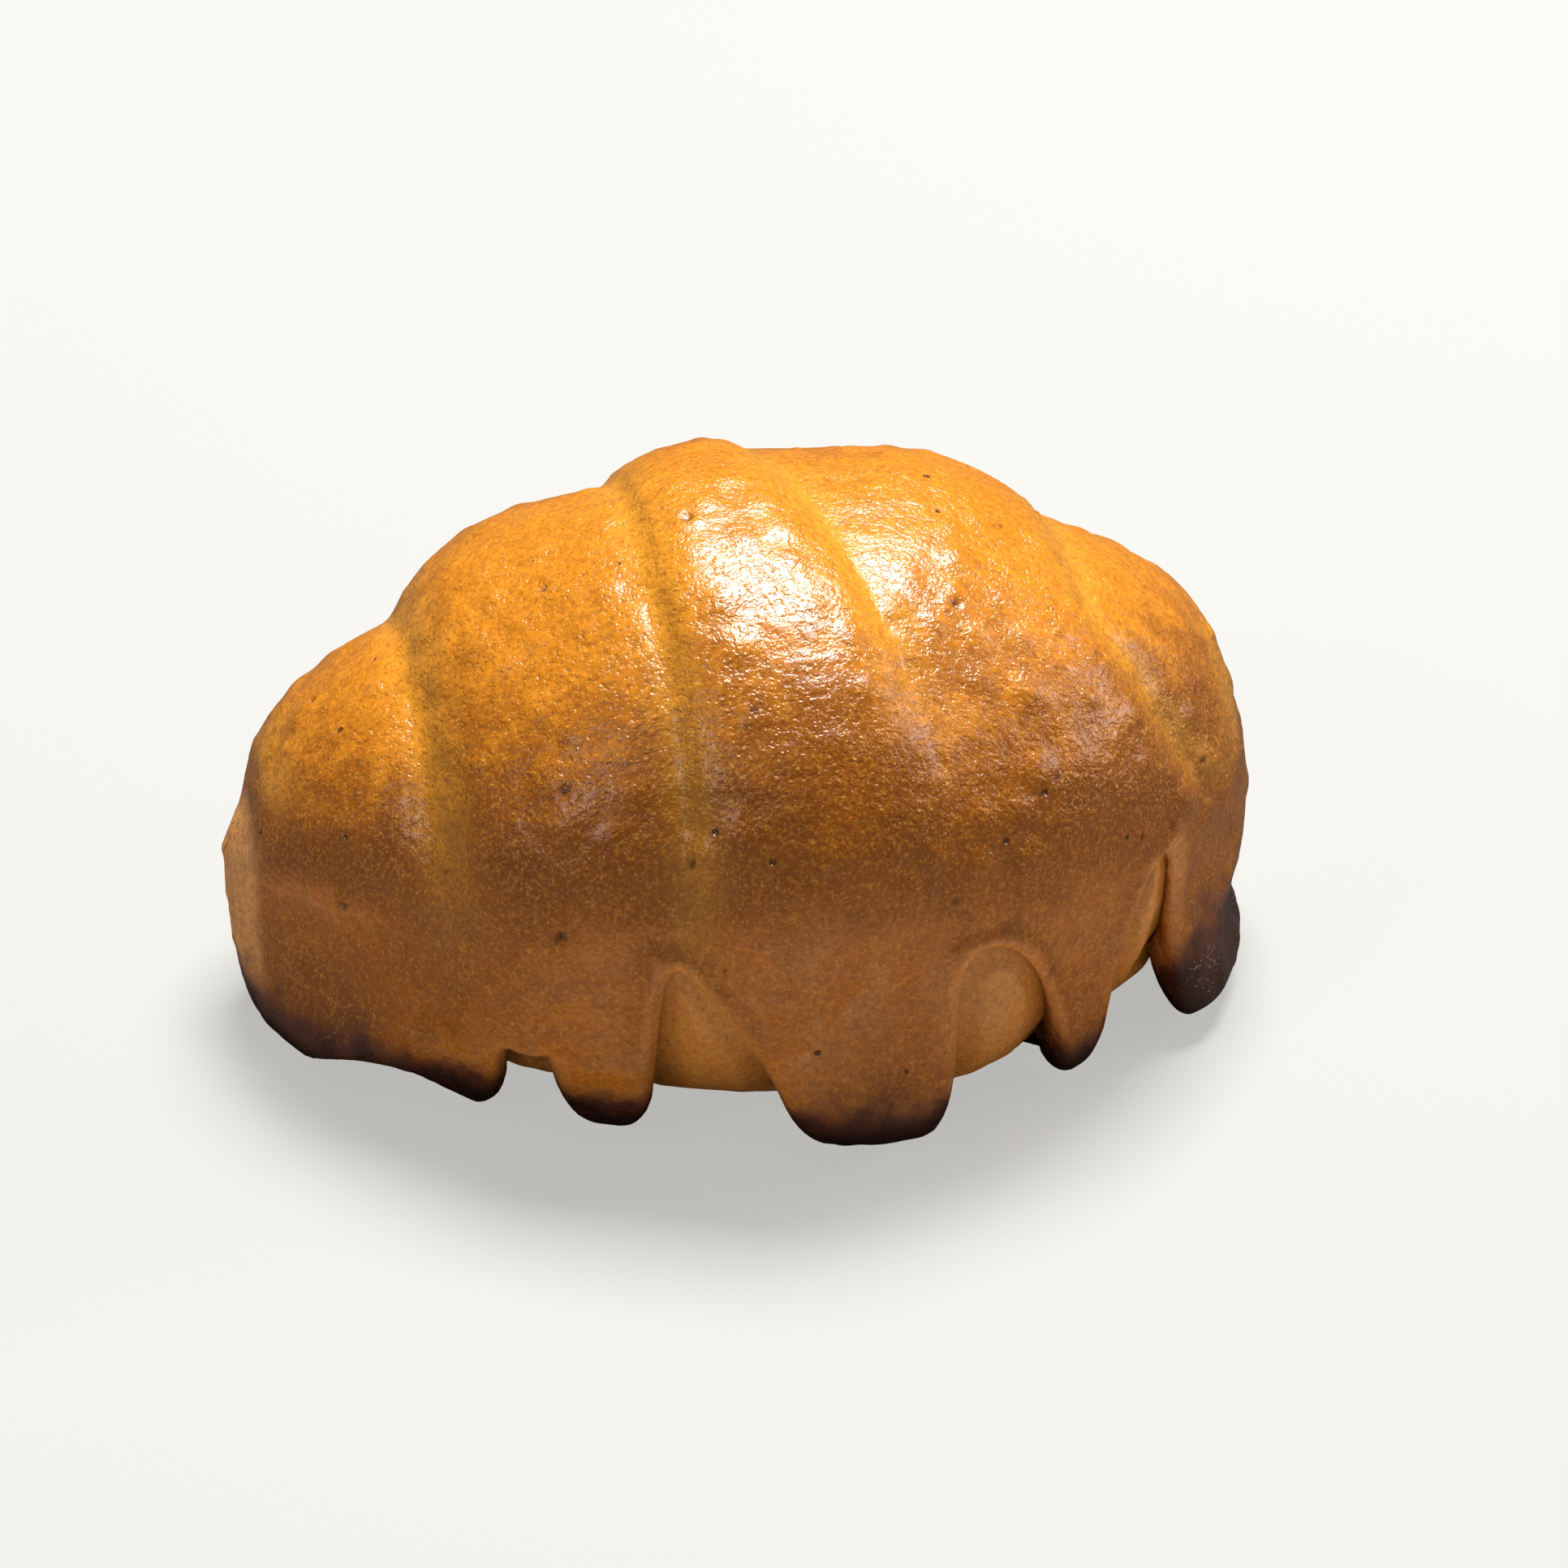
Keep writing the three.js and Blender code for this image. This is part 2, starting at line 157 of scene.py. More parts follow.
@dataclass(frozen=True)
class Hill:
    """Smooth rise along the roll: its place, height and spread."""

    x: float
    height: float
    spread: float

    def at(self, x: Array) -> Array:
        """Height of the hill at places along the roll."""
        return self.height * hump(x, self.x, self.spread)


@dataclass(frozen=True)
class Skin:
    """One roll-shaped surface: its growth over the dough and its section below the middle.

    The toe is the round under a drip, the feet are how far the drips swell out above it.
    """

    grow: float
    share: float
    blur: float
    sink: float
    lower: Taper
    square: float
    fuller: Hill
    toe: float = 0.0
    front_feet: tuple[Hill, ...] = ()
    back_feet: tuple[Hill, ...] = ()

    def squareness(self, x: Array) -> Array:
        """Squareness of the lower section along the roll."""
        return self.square + self.fuller.at(x)

    def swell(self, x: Array, front: Array) -> Array:
        """How far the feet swell out along the roll, on the front or behind."""
        ahead, behind = (sum(hill.at(x) for hill in feet) for feet in (self.front_feet, self.back_feet))
        return np.where(front, ahead, behind)


FRONT_FEET = (
    Hill(-49, 6.5, 6), Hill(-36, -1.8, 6), Hill(-20, -0.2, 6),
    Hill(8, 2.2, 12), Hill(29.5, 2.8, 5), Hill(47.5, 6, 6.5),
)
BACK_FEET = (
    Hill(-43, 2.5, 6), Hill(-25, 3, 6), Hill(-6, 2.5, 6),
    Hill(12, 3, 6), Hill(30, 3, 6), Hill(45, 3, 5),
)
DOUGH_SKIN = Skin(
    grow=0.0, share=1.0, blur=0.6, sink=0.8,
    lower=Taper(4, 0.47, 4.5, 0.47), square=1.85, fuller=Hill(10, 1.05, 22),
)
HOLLOW_SKIN = replace(DOUGH_SKIN, grow=0.3)
COAT_SKIN = Skin(
    grow=2.0, share=0.9, blur=0.9, sink=3.0,
    lower=Taper(7, 0.47, 14, 0.47), square=2.8, fuller=Hill(6, 1.6, 14),
    toe=5.0, front_feet=FRONT_FEET, back_feet=BACK_FEET,
)


@dataclass(frozen=True)
class RollForm:
    """Rule of the rolled-up dough: its sizes, its bands and the points of its surfaces."""

    half_length: float = 55.5
    half_width: float = 36.3
    height: float = 60.4
    axis_height: float = 29.6
    tip_height: float = 19.0
    end_bend: float = 9.0
    width: Taper = Taper(1.8, 0.62, 2.1, 0.6)
    upper: Taper = Taper(1.7, 0.73, 1.4, 0.44)
    upper_square: float = 2.0
    band_centre: float = -6.0
    left_seams: tuple[Seam, ...] = (Seam(6.8), Seam(30.8, groove=1.0), Seam(46.8, 4))
    right_seams: tuple[Seam, ...] = (Seam(7.8, 24, 115, gone=0.45, whole=0.85), Seam(39.5, 44, 66), Seam(59))
    band_step: float = 2.1
    band_lip: float = 5.0
    band_sink: float = 2.4
    groove_spread: float = 3.5
    tip_drop: float = 2.0
    fade_from: float = -0.5
    fade_to: float = 0.45
    blur_taps: int = 31
    waves: tuple[Wave, ...] = (Wave(0.45, 41, 2, 0.7), Wave(0.4, 27, -3, 2.1), Wave(0.3, 67, 1, 4))
    relief_rise: float = 5.0
    thick_rise: float = 4.0
    thick_end: float = 6.0
    foot_height: float = 4.5
    foot_spread: float = 6.0
    neck_height: float = 19.0
    neck_share: float = 0.25
    left_flare: float = 0.22
    right_flare: float = 0.4
    waist_depth: float = 2.8
    waist_height: float = 8.5
    waist_spread: float = 4.0

    def sides(self, x: Array) -> tuple[tuple[tuple[Seam, ...], Array], ...]:
        """Seams of each side of the centre band with the places that belong to it."""
        left = x < self.band_centre
        return (self.left_seams, left), (self.right_seams, ~left)

    def band_height(self, x: Array, theta: Array) -> Array:
        """Height of the bands: each rises at its outer edge and sinks under the next one.

        Args:
            x: Places along the roll.
            theta: Section angles.

        Returns:
            Heights over the plain roll.
        """
        away = np.abs(x - self.band_centre)
        height = np.full(x.shape, -self.tip_drop)
        for seams, side in self.sides(x):
            places = [seam.place(theta) for seam in seams]
            sharp = [seam.strength(theta) for seam in seams]
            for i in range(len(seams) - 1, -1, -1):
                inside = places[i] - away
                t = np.clip(inside / self.band_lip, 0, 1)
                edge = 1 - sharp[i] * (1 - np.sqrt(np.maximum(1 - (1 - t) ** 2, 0)))
                sunk = 0.0
                if i:
                    within = np.clip(inside / (places[i] - places[i - 1]), 0, 1)
                    sunk = sharp[i - 1] * within**self.band_sink
                height = np.where(side & (inside > 0), self.band_step * (edge - sunk), height)
            for seam, place in zip(seams, places):
                groove = seam.groove * hump(away, place, self.groove_spread)
                height = np.where(side, height - groove, height)
        return height

    def fade(self, theta: Array) -> Array:
        """Share of the band relief that is left at section angles, none under the roll."""
        return smooth(np.sin(theta), self.fade_from, self.fade_to)

    def relief(self, x: Array, theta: Array, skin: Skin) -> Array:
        """Band relief softened along the roll, with the waves of the hand-rolled dough.

        Args:
            x: Places along the roll.
            theta: Section angles.
            skin: Surface that follows the bands.

        Returns:
            Heights over the plain roll.
        """
        total = np.zeros(x.shape)
        for shift in np.linspace(-skin.blur, skin.blur, self.blur_taps):
            total += self.band_height(x + shift, theta)
        bands = skin.share * self.fade(theta) * total / self.blur_taps
        return bands + sum(wave.at(x, theta) for wave in self.waves)

    def seam_mask(self, x: Array, theta: Array, reach: float) -> Array:
        """Closeness to a seam.

        Args:
            x: Places along the roll.
            theta: Section angles.
            reach: Distance over which a seam fades out.

        Returns:
            Values from 0 away from the seams to 1 on one.
        """
        away = np.abs(x - self.band_centre)
        mask = np.zeros(x.shape)
        for seams, side in self.sides(x):
            for seam in seams:
                near = seam.strength(theta) * hump(away, seam.place(theta), reach)
                mask = np.where(side, np.maximum(mask, near), mask)
        return mask * self.fade(theta)

    def points(self, phi: Array, theta: Array, skin: Skin) -> Array:
        """Points of a roll-shaped surface.

        Args:
            phi: Profile angles from tip to tip.
            theta: Section angles, 0 at the front and a quarter turn on top.
            skin: Surface to follow.

        Returns:
            Points in millimetres, one row each.
        """
        s = np.sin(phi)
        x = self.half_length * s
        wide = self.width.share(s)
        upper = self.upper.share(s)
        cosine, sine = np.cos(theta), np.sin(theta)
        below = sine < 0
        radius = square_radius(theta, np.where(below, skin.squareness(x), self.upper_square))
        raised = self.relief(x, theta, skin) * np.minimum(wide * self.relief_rise, 1)
        grown = skin.grow * np.minimum(wide * self.thick_rise, 1)
        half_width = np.maximum(self.half_width * wide + raised, 0) + grown
        rise = np.maximum((self.height - self.axis_height) * upper + raised, 0) + grown
        drop = (self.axis_height + skin.sink) * skin.lower.share(s) + grown
        axis = self.tip_height + (self.axis_height - self.tip_height) * upper
        z = axis + np.where(below, drop, rise) * sine * radius
        inset = round_inset(z, skin.toe)
        foot = hump(z, self.foot_height, self.foot_spread)
        neck = hump(z, self.neck_height, self.foot_spread)
        swell = skin.swell(x, cosine > 0) * (foot - self.neck_share * neck)
        lateral = half_width * cosine * radius
        lateral = lateral * (1 - (inset - swell) / (np.abs(lateral) + skin.toe + TINY))
        end = np.sign(s) * np.abs(s) ** self.thick_end
        waist = self.waist_depth * hump(z, self.waist_height, self.waist_spread)
        flare = np.where(s < 0, self.left_flare, self.right_flare)
        along = x + end * (skin.grow - inset + flare * swell) - np.maximum(end, 0) * waist
        return np.stack((along, self.end_bend * s * s - lateral, np.maximum(z, 0)), axis=-1)


@dataclass(frozen=True)
class Gap:
    """Opening between two drips: its place, half width, height, roundness, lean and turn."""

    flank: Flank
    x: float
    half: float
    high: float
    roundness: float
    lean: float = 0.0
    turn: float = 0.0

    depth = 22.0
    depth_round = 4.0
    corner = 4.2
    tangent_step = 0.02

    def distance(self, point: Array, form: RollForm) -> Array:
        """Distance to the rim of the gap, which widens at the tray so that the drips end round.

        Args:
            point: Points of the coat's full outside.
            form: Rule of the roll that the gap stands on.

        Returns:
            Distances in millimetres, negative inside the gap.
        """
        phi = np.array([0.0, self.tangent_step]) + math.asin(self.x / form.half_length)
        foot, ahead = form.points(phi, np.full(2, self.flank.value), COAT_SKIN)[:, :2]
        heading = math.atan2(ahead[1] - foot[1], ahead[0] - foot[0]) + math.radians(self.turn)
        way = np.array([math.cos(heading), math.sin(heading)])
        off = point[:, :2] - foot
        high = point[:, 2]
        along = off @ way - self.lean * high**2 / self.high
        across = off[:, 1] * way[0] - off[:, 0] * way[1]
        a = np.abs(along / self.half) ** self.roundness
        b = np.abs(high / self.high) ** self.roundness
        slope = (self.roundness - 1) / self.roundness
        steep = np.hypot(a**slope / self.half, b**slope / self.high)
        gradient = steep / np.maximum((a + b) ** slope, TINY)
        least = 1 / math.hypot(self.half, self.high)
        depth = min(self.depth, abs(foot[1] - form.end_bend * (self.x / form.half_length) ** 2))
        reach = (a + b) ** (1 / self.roundness) + (np.abs(across) / depth) ** self.depth_round
        return (reach - 1) / np.maximum(gradient, least) - round_inset(high, self.corner)


GAPS = (
    Gap(Flank.FRONT, -41.4, 6, 3, 1.7),
    Gap(Flank.FRONT, -27.2, 2.4, 11.5, 3.4, turn=24),
    Gap(Flank.FRONT, -8.9, 6.9, 25.5, 1.5, lean=-0.18),
    Gap(Flank.FRONT, 18.6, 6.8, 25.5, 2.2, lean=-0.16),
    Gap(Flank.FRONT, 37.4, 3.8, 28, 2.3, lean=0.06, turn=-24),
    Gap(Flank.BACK, -50.5, 3.4, 12, 2),
    Gap(Flank.BACK, -34, 4.2, 16, 1.6),
    Gap(Flank.BACK, -15.5, 5.4, 22, 1.5, lean=0.12),
    Gap(Flank.BACK, 4, 4, 9, 2.4),
    Gap(Flank.BACK, 21, 6, 23, 1.8, lean=-0.1),
    Gap(Flank.BACK, 38, 3.6, 11, 2),
    Gap(Flank.BACK, 50, 3.4, 14, 1.8),
)


class Grid:
    """Places on the roll: one at each tip and a ring of columns on every row between."""

    fine_steps = 1601
    profile_angles = (0.3, QUARTER, 2.8)
    section_turns = (-0.6, 0.0, 0.6)

    def __init__(self, form: RollForm, skin: Skin, rings: int, columns: int) -> None:
        """Spreads the places so that their steps over the surface are even.

        Args:
            form: Rule of the roll.
            skin: Surface whose steps are evened out.
            rings: Rows between the tips.
            columns: Places on each row.
        """
        self.rings = rings
        self.columns = columns
        phi = np.linspace(-QUARTER, QUARTER, self.fine_steps)
        profiles = [form.points(phi, np.full(phi.shape, angle), skin) for angle in self.profile_angles]
        rows = self._even(phi, profiles, rings + 2)[1:-1]
        theta = np.linspace(-QUARTER, 3 * QUARTER, self.fine_steps)
        sections = [form.points(np.full(theta.shape, turn), theta, skin) for turn in self.section_turns]
        angles = self._even(theta, sections, columns + 1)[:-1]
        self.phi = np.concatenate(([-QUARTER], np.repeat(rows, columns), [QUARTER]))
        self.theta = np.concatenate(([0.0], np.tile(angles, rings), [0.0]))

    @staticmethod
    def _even(angle: Array, curves: list[Array], count: int) -> Array:
        """Angles at even steps along the mean of some curves.

        Args:
            angle: Fine angles that the curves are given at.
            curves: Points of each curve.
            count: Number of angles wanted.

        Returns:
            The angles.
        """
        steps = sum(np.linalg.norm(np.diff(curve, axis=0), axis=1) for curve in curves)
        length = np.concatenate(([0.0], np.cumsum(steps)))
        return np.interp(np.linspace(0, length[-1], count), length, angle)

    def at(self, ring: Array | int, column: Array | int) -> Array | int:
        """Number of the place on a ring and a column."""
        return 1 + ring * self.columns + column % self.columns

    def quads(self) -> Array:
        """Corners of the faces between the rings, by ring and column.

        Returns:
            Numbers of the four corners in outward order.
        """
        ring, column = np.meshgrid(np.arange(self.rings - 1), np.arange(self.columns), indexing="ij")
        corners = ((ring, column), (ring + 1, column), (ring + 1, column + 1), (ring, column + 1))
        return np.stack([self.at(r, c) for r, c in corners], axis=-1)

    def fans(self) -> list[list[int]]:
        """Triangles round the two tips.

        Returns:
            Numbers of the three corners in outward order.
        """
        last = self.rings - 1
        tip = len(self.phi) - 1
        left = [[0, self.at(0, c), self.at(0, c + 1)] for c in range(self.columns)]
        right = [[tip, self.at(last, c + 1), self.at(last, c)] for c in range(self.columns)]
        return left + right


@dataclass(frozen=True)
class CoatEdge:
    """Where the coat ends: round the opening under the roll and round the gaps between its drips."""

    gaps: tuple[Gap, ...]
    under_square: float = 2.4
    under_side: float = 0.6
    under_end: float = 0.9
    under_side_round: float = 4.0
    under_end_round: float = 10.0
    under_fall: float = 25.0
    under_below: float = -0.5
    far: float = 40.0

    def distance(self, form: RollForm, grid: Grid, outside: Array) -> Array:
        """Distance to the edge of the coat.

        Args:
            form: Rule of the roll.
            grid: Places on the roll.
            outside: Points of the coat's full outside at those places.

        Returns:
            Distances in millimetres, positive where the coat lies.
        """
        side = np.abs(np.cos(grid.theta)) * square_radius(grid.theta, self.under_square)
        a = (side / self.under_side) ** self.under_side_round
        b = (np.abs(np.sin(grid.phi)) / self.under_end) ** self.under_end_round
        under = ((a + b) ** (1 / self.under_side_round) - 1) * self.under_fall
        distance = np.where(np.sin(grid.theta) < self.under_below, under, self.far)
        for gap in self.gaps:
            distance = np.minimum(distance, gap.distance(outside, form))
        return distance


class EdgeCutter:
    """Cuts faces of the grid along lines of equal distance from the coat's edge."""

    margin = 0.08

    def __init__(self, hollow: Array, outside: Array, distance: Array) -> None:
        """Takes the places of the grid.

        Args:
            hollow: Points of the hollow that lies on the dough.
            outside: Points of the full outside.
            distance: Distances from the edge, positive where the coat lies.
        """
        self.hollow = list(hollow)
        self.outside = list(outside)
        self.distance = list(distance)
        self.made: dict[tuple[int, int, float], int] = {}

    def crossing(self, here: int, there: int, level: float) -> int:
        """Corner where the line between two corners crosses a distance.

        Args:
            here: First corner.
            there: Second corner.
            level: Distance that is crossed.

        Returns:
            Number of the corner, the same for both faces on that line.
        """
        low, high = min(here, there), max(here, there)
        key = (low, high, level)
        if key not in self.made:
            share = (level - self.distance[low]) / (self.distance[high] - self.distance[low])
            t = min(max(share, self.margin), 1 - self.margin)
            self.made[key] = len(self.distance)
            for points in (self.hollow, self.outside):
                points.append(points[low] * (1 - t) + points[high] * t)
            self.distance.append(level)
        return self.made[key]

    def cut(self, loop: list[int], level: float, beyond: bool) -> list[int]:
        """Part of a face on one side of a distance from the edge.

        Args:
            loop: Corners of the face.
            level: Distance to cut at.
            beyond: Whether the part further from the edge is kept.

        Returns:
            Corners of the part.
        """
        kept = []
        for here, there in zip(loop, loop[1:] + loop[:1]):
            a = self.distance[here] - level
            b = self.distance[there] - level
            if a == 0 or (a > 0) == beyond:
                kept.append(here)
            if a * b < 0:
                kept.append(self.crossing(here, there, level))
        return kept


class Graph:
    """A node tree that is being built."""

    def __init__(self, tree: NodeTree) -> None:
        """Starts on a tree."""
        self.tree = tree

    def node(self, kind: str, inputs: dict | None = None, **settings: object) -> Node:
        """Adds a node.

        Args:
            kind: Type name of the node.
            inputs: Values or sockets by the name or the number of the input.
            settings: Properties of the node.

        Returns:
            The node.
        """
        node = self.tree.nodes.new(kind)
        for name, value in settings.items():
            setattr(node, name, value)
        self.feed(node, inputs or {})
        return node

    def feed(self, node: Node, inputs: dict) -> None:
        """Links sockets into the inputs of a node, or sets the inputs' own values.

        Args:
            node: Node to feed.
            inputs: Values or sockets by the name or the number of the input.
        """
        for name, value in inputs.items():
            if isinstance(value, NodeSocket):
                self.tree.links.new(value, node.inputs[name])
            else:
                node.inputs[name].default_value = value

    def math(self, operation: str, *values: Feed) -> NodeSocket:
        """Adds a sum of values and sockets."""
        return self.node("ShaderNodeMath", dict(enumerate(values)), operation=operation).outputs[0]

    def plus(self, a: Feed, b: Feed) -> NodeSocket:
        """Adds two values."""
        return self.math("ADD", a, b)

    def minus(self, a: Feed, b: Feed) -> NodeSocket:
        """Takes the second value from the first."""
        return self.math("SUBTRACT", a, b)

    def times(self, a: Feed, b: Feed) -> NodeSocket:
        """Multiplies two values."""
        return self.math("MULTIPLY", a, b)

    def per(self, a: Feed, b: Feed) -> NodeSocket:
        """Divides the first value by the second."""
        return self.math("DIVIDE", a, b)

    def vector(self, operation: str, inputs: dict) -> Node:
        """Adds a sum of vectors."""
        return self.node("ShaderNodeVectorMath", inputs, operation=operation)

    def step(self, value: Feed, low: Feed, high: Feed) -> NodeSocket:
        """Smooth step of a value from 0 at low to 1 at high."""
        inputs = {"Value": value, "From Min": low, "From Max": high}
        return self.node("ShaderNodeMapRange", inputs, interpolation_type="SMOOTHSTEP").outputs["Result"]

    def hump(self, value: Feed, middle: float, spread: float) -> NodeSocket:
        """Smooth hump of a value, 1 in the middle and 0 beyond the spread."""
        return self.step(self.math("ABSOLUTE", self.minus(value, middle)), spread, 0.0)

    def ramp(self, value: Feed, full: float, low: float, high: float) -> NodeSocket:
        """Straight ramp of a value, from low at 0 to high where the value is full."""
        inputs = {"Value": value, "From Max": full, "To Min": low, "To Max": high}
        return self.node("ShaderNodeMapRange", inputs).outputs["Result"]

    def noise(self, vector: Feed, scale: Feed, detail: float, roughness: float) -> NodeSocket:
        """Adds a noise from 0 to 1, with a number of finer layers and their weight."""
        inputs = {"Vector": vector, "Scale": scale, "Detail": detail, "Roughness": roughness}
        return self.node("ShaderNodeTexNoise", inputs).outputs[0]

    def cells(self, vector: Feed, scale: Feed, channel: int) -> tuple[NodeSocket, NodeSocket]:
        """Distance to the middle of the nearest of scattered cells, and that cell's chance from 0 to 1."""
        cells = self.node("ShaderNodeTexVoronoi", {"Vector": vector, "Scale": scale}).outputs
        return cells["Distance"], self.node("ShaderNodeSeparateColor", {0: cells["Color"]}).outputs[channel]

    def blend(self, share: Feed, under: NodeSocket | Colour, over: NodeSocket | Colour) -> NodeSocket:
        """Lays a share of one colour over another."""
        inputs = {0: share, 6: self.opaque(under), 7: self.opaque(over)}
        return self.node("ShaderNodeMix", inputs, data_type="RGBA").outputs[2]

    def lay(self, under: NodeSocket | Colour, layers: tuple[tuple, ...]) -> NodeSocket:
        """Lays colours over a first one, in turn.

        Args:
            under: Lowest colour.
            layers: Each colour and its masks and shares, whose product is how much of it shows.

        Returns:
            The mixed colour.
        """
        for over, *shares in layers:
            under = self.blend(reduce(self.times, shares), under, over)
        return under

    @staticmethod
    def opaque(colour: NodeSocket | Colour) -> NodeSocket | tuple:
        """A colour's three numbers with full cover, or a socket as it is."""
        return colour if isinstance(colour, NodeSocket) else (*colour, 1.0)

    def attribute(self, name: str) -> NodeSocket:
        """Value that a mesh keeps at its points, in a material."""
        return self.node("ShaderNodeAttribute", attribute_name=name).outputs["Fac"]


@dataclass(frozen=True)
class CrustPatterns:
    """Patterns that both finishes share, each a node group with named inputs and outputs.

    Spans run from where a pattern starts to where it is full. Layers are the number and the weight of a
    noise's finer layers. Fineness counts how many times finer a pattern is than the grain or the fleck.
    """

    grain_name: str = "crust grain"
    mottle_name: str = "oven mottle"
    pebble_layers: Span = (2.0, 0.55)
    pebble_span: Span = (0.34, 0.54)
    sand_fineness: float = 2.6
    sand_layers: Span = (1.0, 0.5)
    sand_share: float = 0.6
    bead_fineness: float = 1.5
    bead_radius: float = 0.6
    bead_share: float = 1.4
    wrinkle_draw: Place = (0.6, 0.9, 1.0)
    wrinkle_layers: Span = (2.0, 0.5)
    pinhole_chance: Span = (0.45, 1.0)
    pinhole_radius: float = 0.1
    pinhole_edge: float = 0.04
    pinhole_depth: float = 0.3
    valley_sand: float = 0.4
    valley_span: Span = (0.5, 0.3)
    meal_fineness: float = 1.6
    meal_layers: Span = (4.0, 0.75)
    meal_span: Span = (0.47, 0.72)
    blotch_layers: Span = (5.0, 0.62)
    blotch_span: Span = (0.24, 0.6)
    fleck_layers: Span = (4.0, 0.65)
    fleck_span: Span = (0.42, 0.7)
    speck_fineness: float = 6.0
    speck_layers: Span = (2.0, 0.6)
    speck_span: Span = (0.38, 0.68)

    @staticmethod
    def _group(name: str, sizes: tuple[str, ...], outputs: tuple[str, ...]) -> Graph:
        """Starts a node group that reads a place.

        Args:
            name: Name of the group.
            sizes: Names of its size inputs.
            outputs: Names of its value outputs.

        Returns:
            The graph of the group.
        """
        tree = bpy.data.node_groups.new(name, "ShaderNodeTree")
        tree.interface.new_socket(name="Place", in_out="INPUT", socket_type="NodeSocketVector")
        for side, labels in (("INPUT", sizes), ("OUTPUT", outputs)):
            for label in labels:
                tree.interface.new_socket(name=label, in_out=side, socket_type="NodeSocketFloat")
        return Graph(tree)

    def grain(self) -> NodeTree:
        """Fine pebbles, wrinkles and pinholes of a baked skin.

        Returns:
            The node group; its heights are in the unit of the place.
        """
        if self.grain_name in bpy.data.node_groups:
            return bpy.data.node_groups[self.grain_name]
        sizes = ("Grain Size", "Grain Height", "Wrinkle Size", "Wrinkle Height", "Pinhole Spacing")
        g = self._group(self.grain_name, sizes, ("Height", "Meal", "Valley", "Pinhole"))
        source = g.node("NodeGroupInput").outputs
        place = source["Place"]
        scale = g.per(1.0, source["Grain Size"])
        rough = g.noise(place, scale, *self.pebble_layers)
        sand = g.noise(place, g.times(scale, self.sand_fineness), *self.sand_layers)
        sand = g.minus(sand, NOISE_MIDDLE)
        away, luck = g.cells(place, g.times(scale, self.bead_fineness), 1)
        bead = g.times(g.step(away, g.times(luck, self.bead_radius), 0.0), luck)
        pebble = g.plus(g.step(rough, *self.pebble_span), g.times(sand, self.sand_share))
        pebble = g.plus(pebble, g.times(bead, self.bead_share))
        drawn = g.vector("MULTIPLY", {0: place, 1: self.wrinkle_draw}).outputs[0]
        wrinkle = g.noise(drawn, g.per(1.0, source["Wrinkle Size"]), *self.wrinkle_layers)
        fold = g.times(g.minus(wrinkle, NOISE_MIDDLE), source["Wrinkle Height"])
        away, luck = g.cells(place, g.per(1.0, source["Pinhole Spacing"]), 0)
        radius = g.times(g.step(luck, *self.pinhole_chance), self.pinhole_radius)
        pinhole = g.step(g.minus(radius, away), 0.0, self.pinhole_edge)
        height = g.plus(g.times(pebble, source["Grain Height"]), fold)
        height = g.minus(height, g.times(pinhole, self.pinhole_depth))
        # Valley marks the low spots of the pebbles, whose darker colour is partly grain and partly painted
        # shade.
        valley = g.step(g.plus(rough, g.times(sand, self.valley_sand)), *self.valley_span)
        fine = g.noise(place, g.times(scale, self.meal_fineness), *self.meal_layers)
        # Meal is fine light grain plus the bead tops, whose paler colour is partly grain and partly painted
        # glints.
        meal = g.math("MAXIMUM", g.step(fine, *self.meal_span), bead)
        g.node("NodeGroupOutput", {"Height": height, "Meal": meal, "Valley": valley, "Pinhole": pinhole})
        return g.tree

    def mottle(self) -> NodeTree:
        """Blotches, flecks and specks of uneven browning.

        Returns:
            The node group.
        """
        if self.mottle_name in bpy.data.node_groups:
            return bpy.data.node_groups[self.mottle_name]
        g = self._group(self.mottle_name, ("Blotch Size", "Fleck Size"), ("Blotch", "Fleck", "Speck"))
        source = g.node("NodeGroupInput").outputs
        spots = (
            ("Blotch", "Blotch Size", 1.0, self.blotch_layers, self.blotch_span),
            ("Fleck", "Fleck Size", 1.0, self.fleck_layers, self.fleck_span),
            ("Speck", "Fleck Size", self.speck_fineness, self.speck_layers, self.speck_span),
        )
        outputs = {}
        for label, size, fineness, layers, span in spots:
            noise = g.noise(source["Place"], g.per(fineness, source[size]), *layers)
            outputs[label] = g.step(noise, *span)
        g.node("NodeGroupOutput", outputs)
        return g.tree


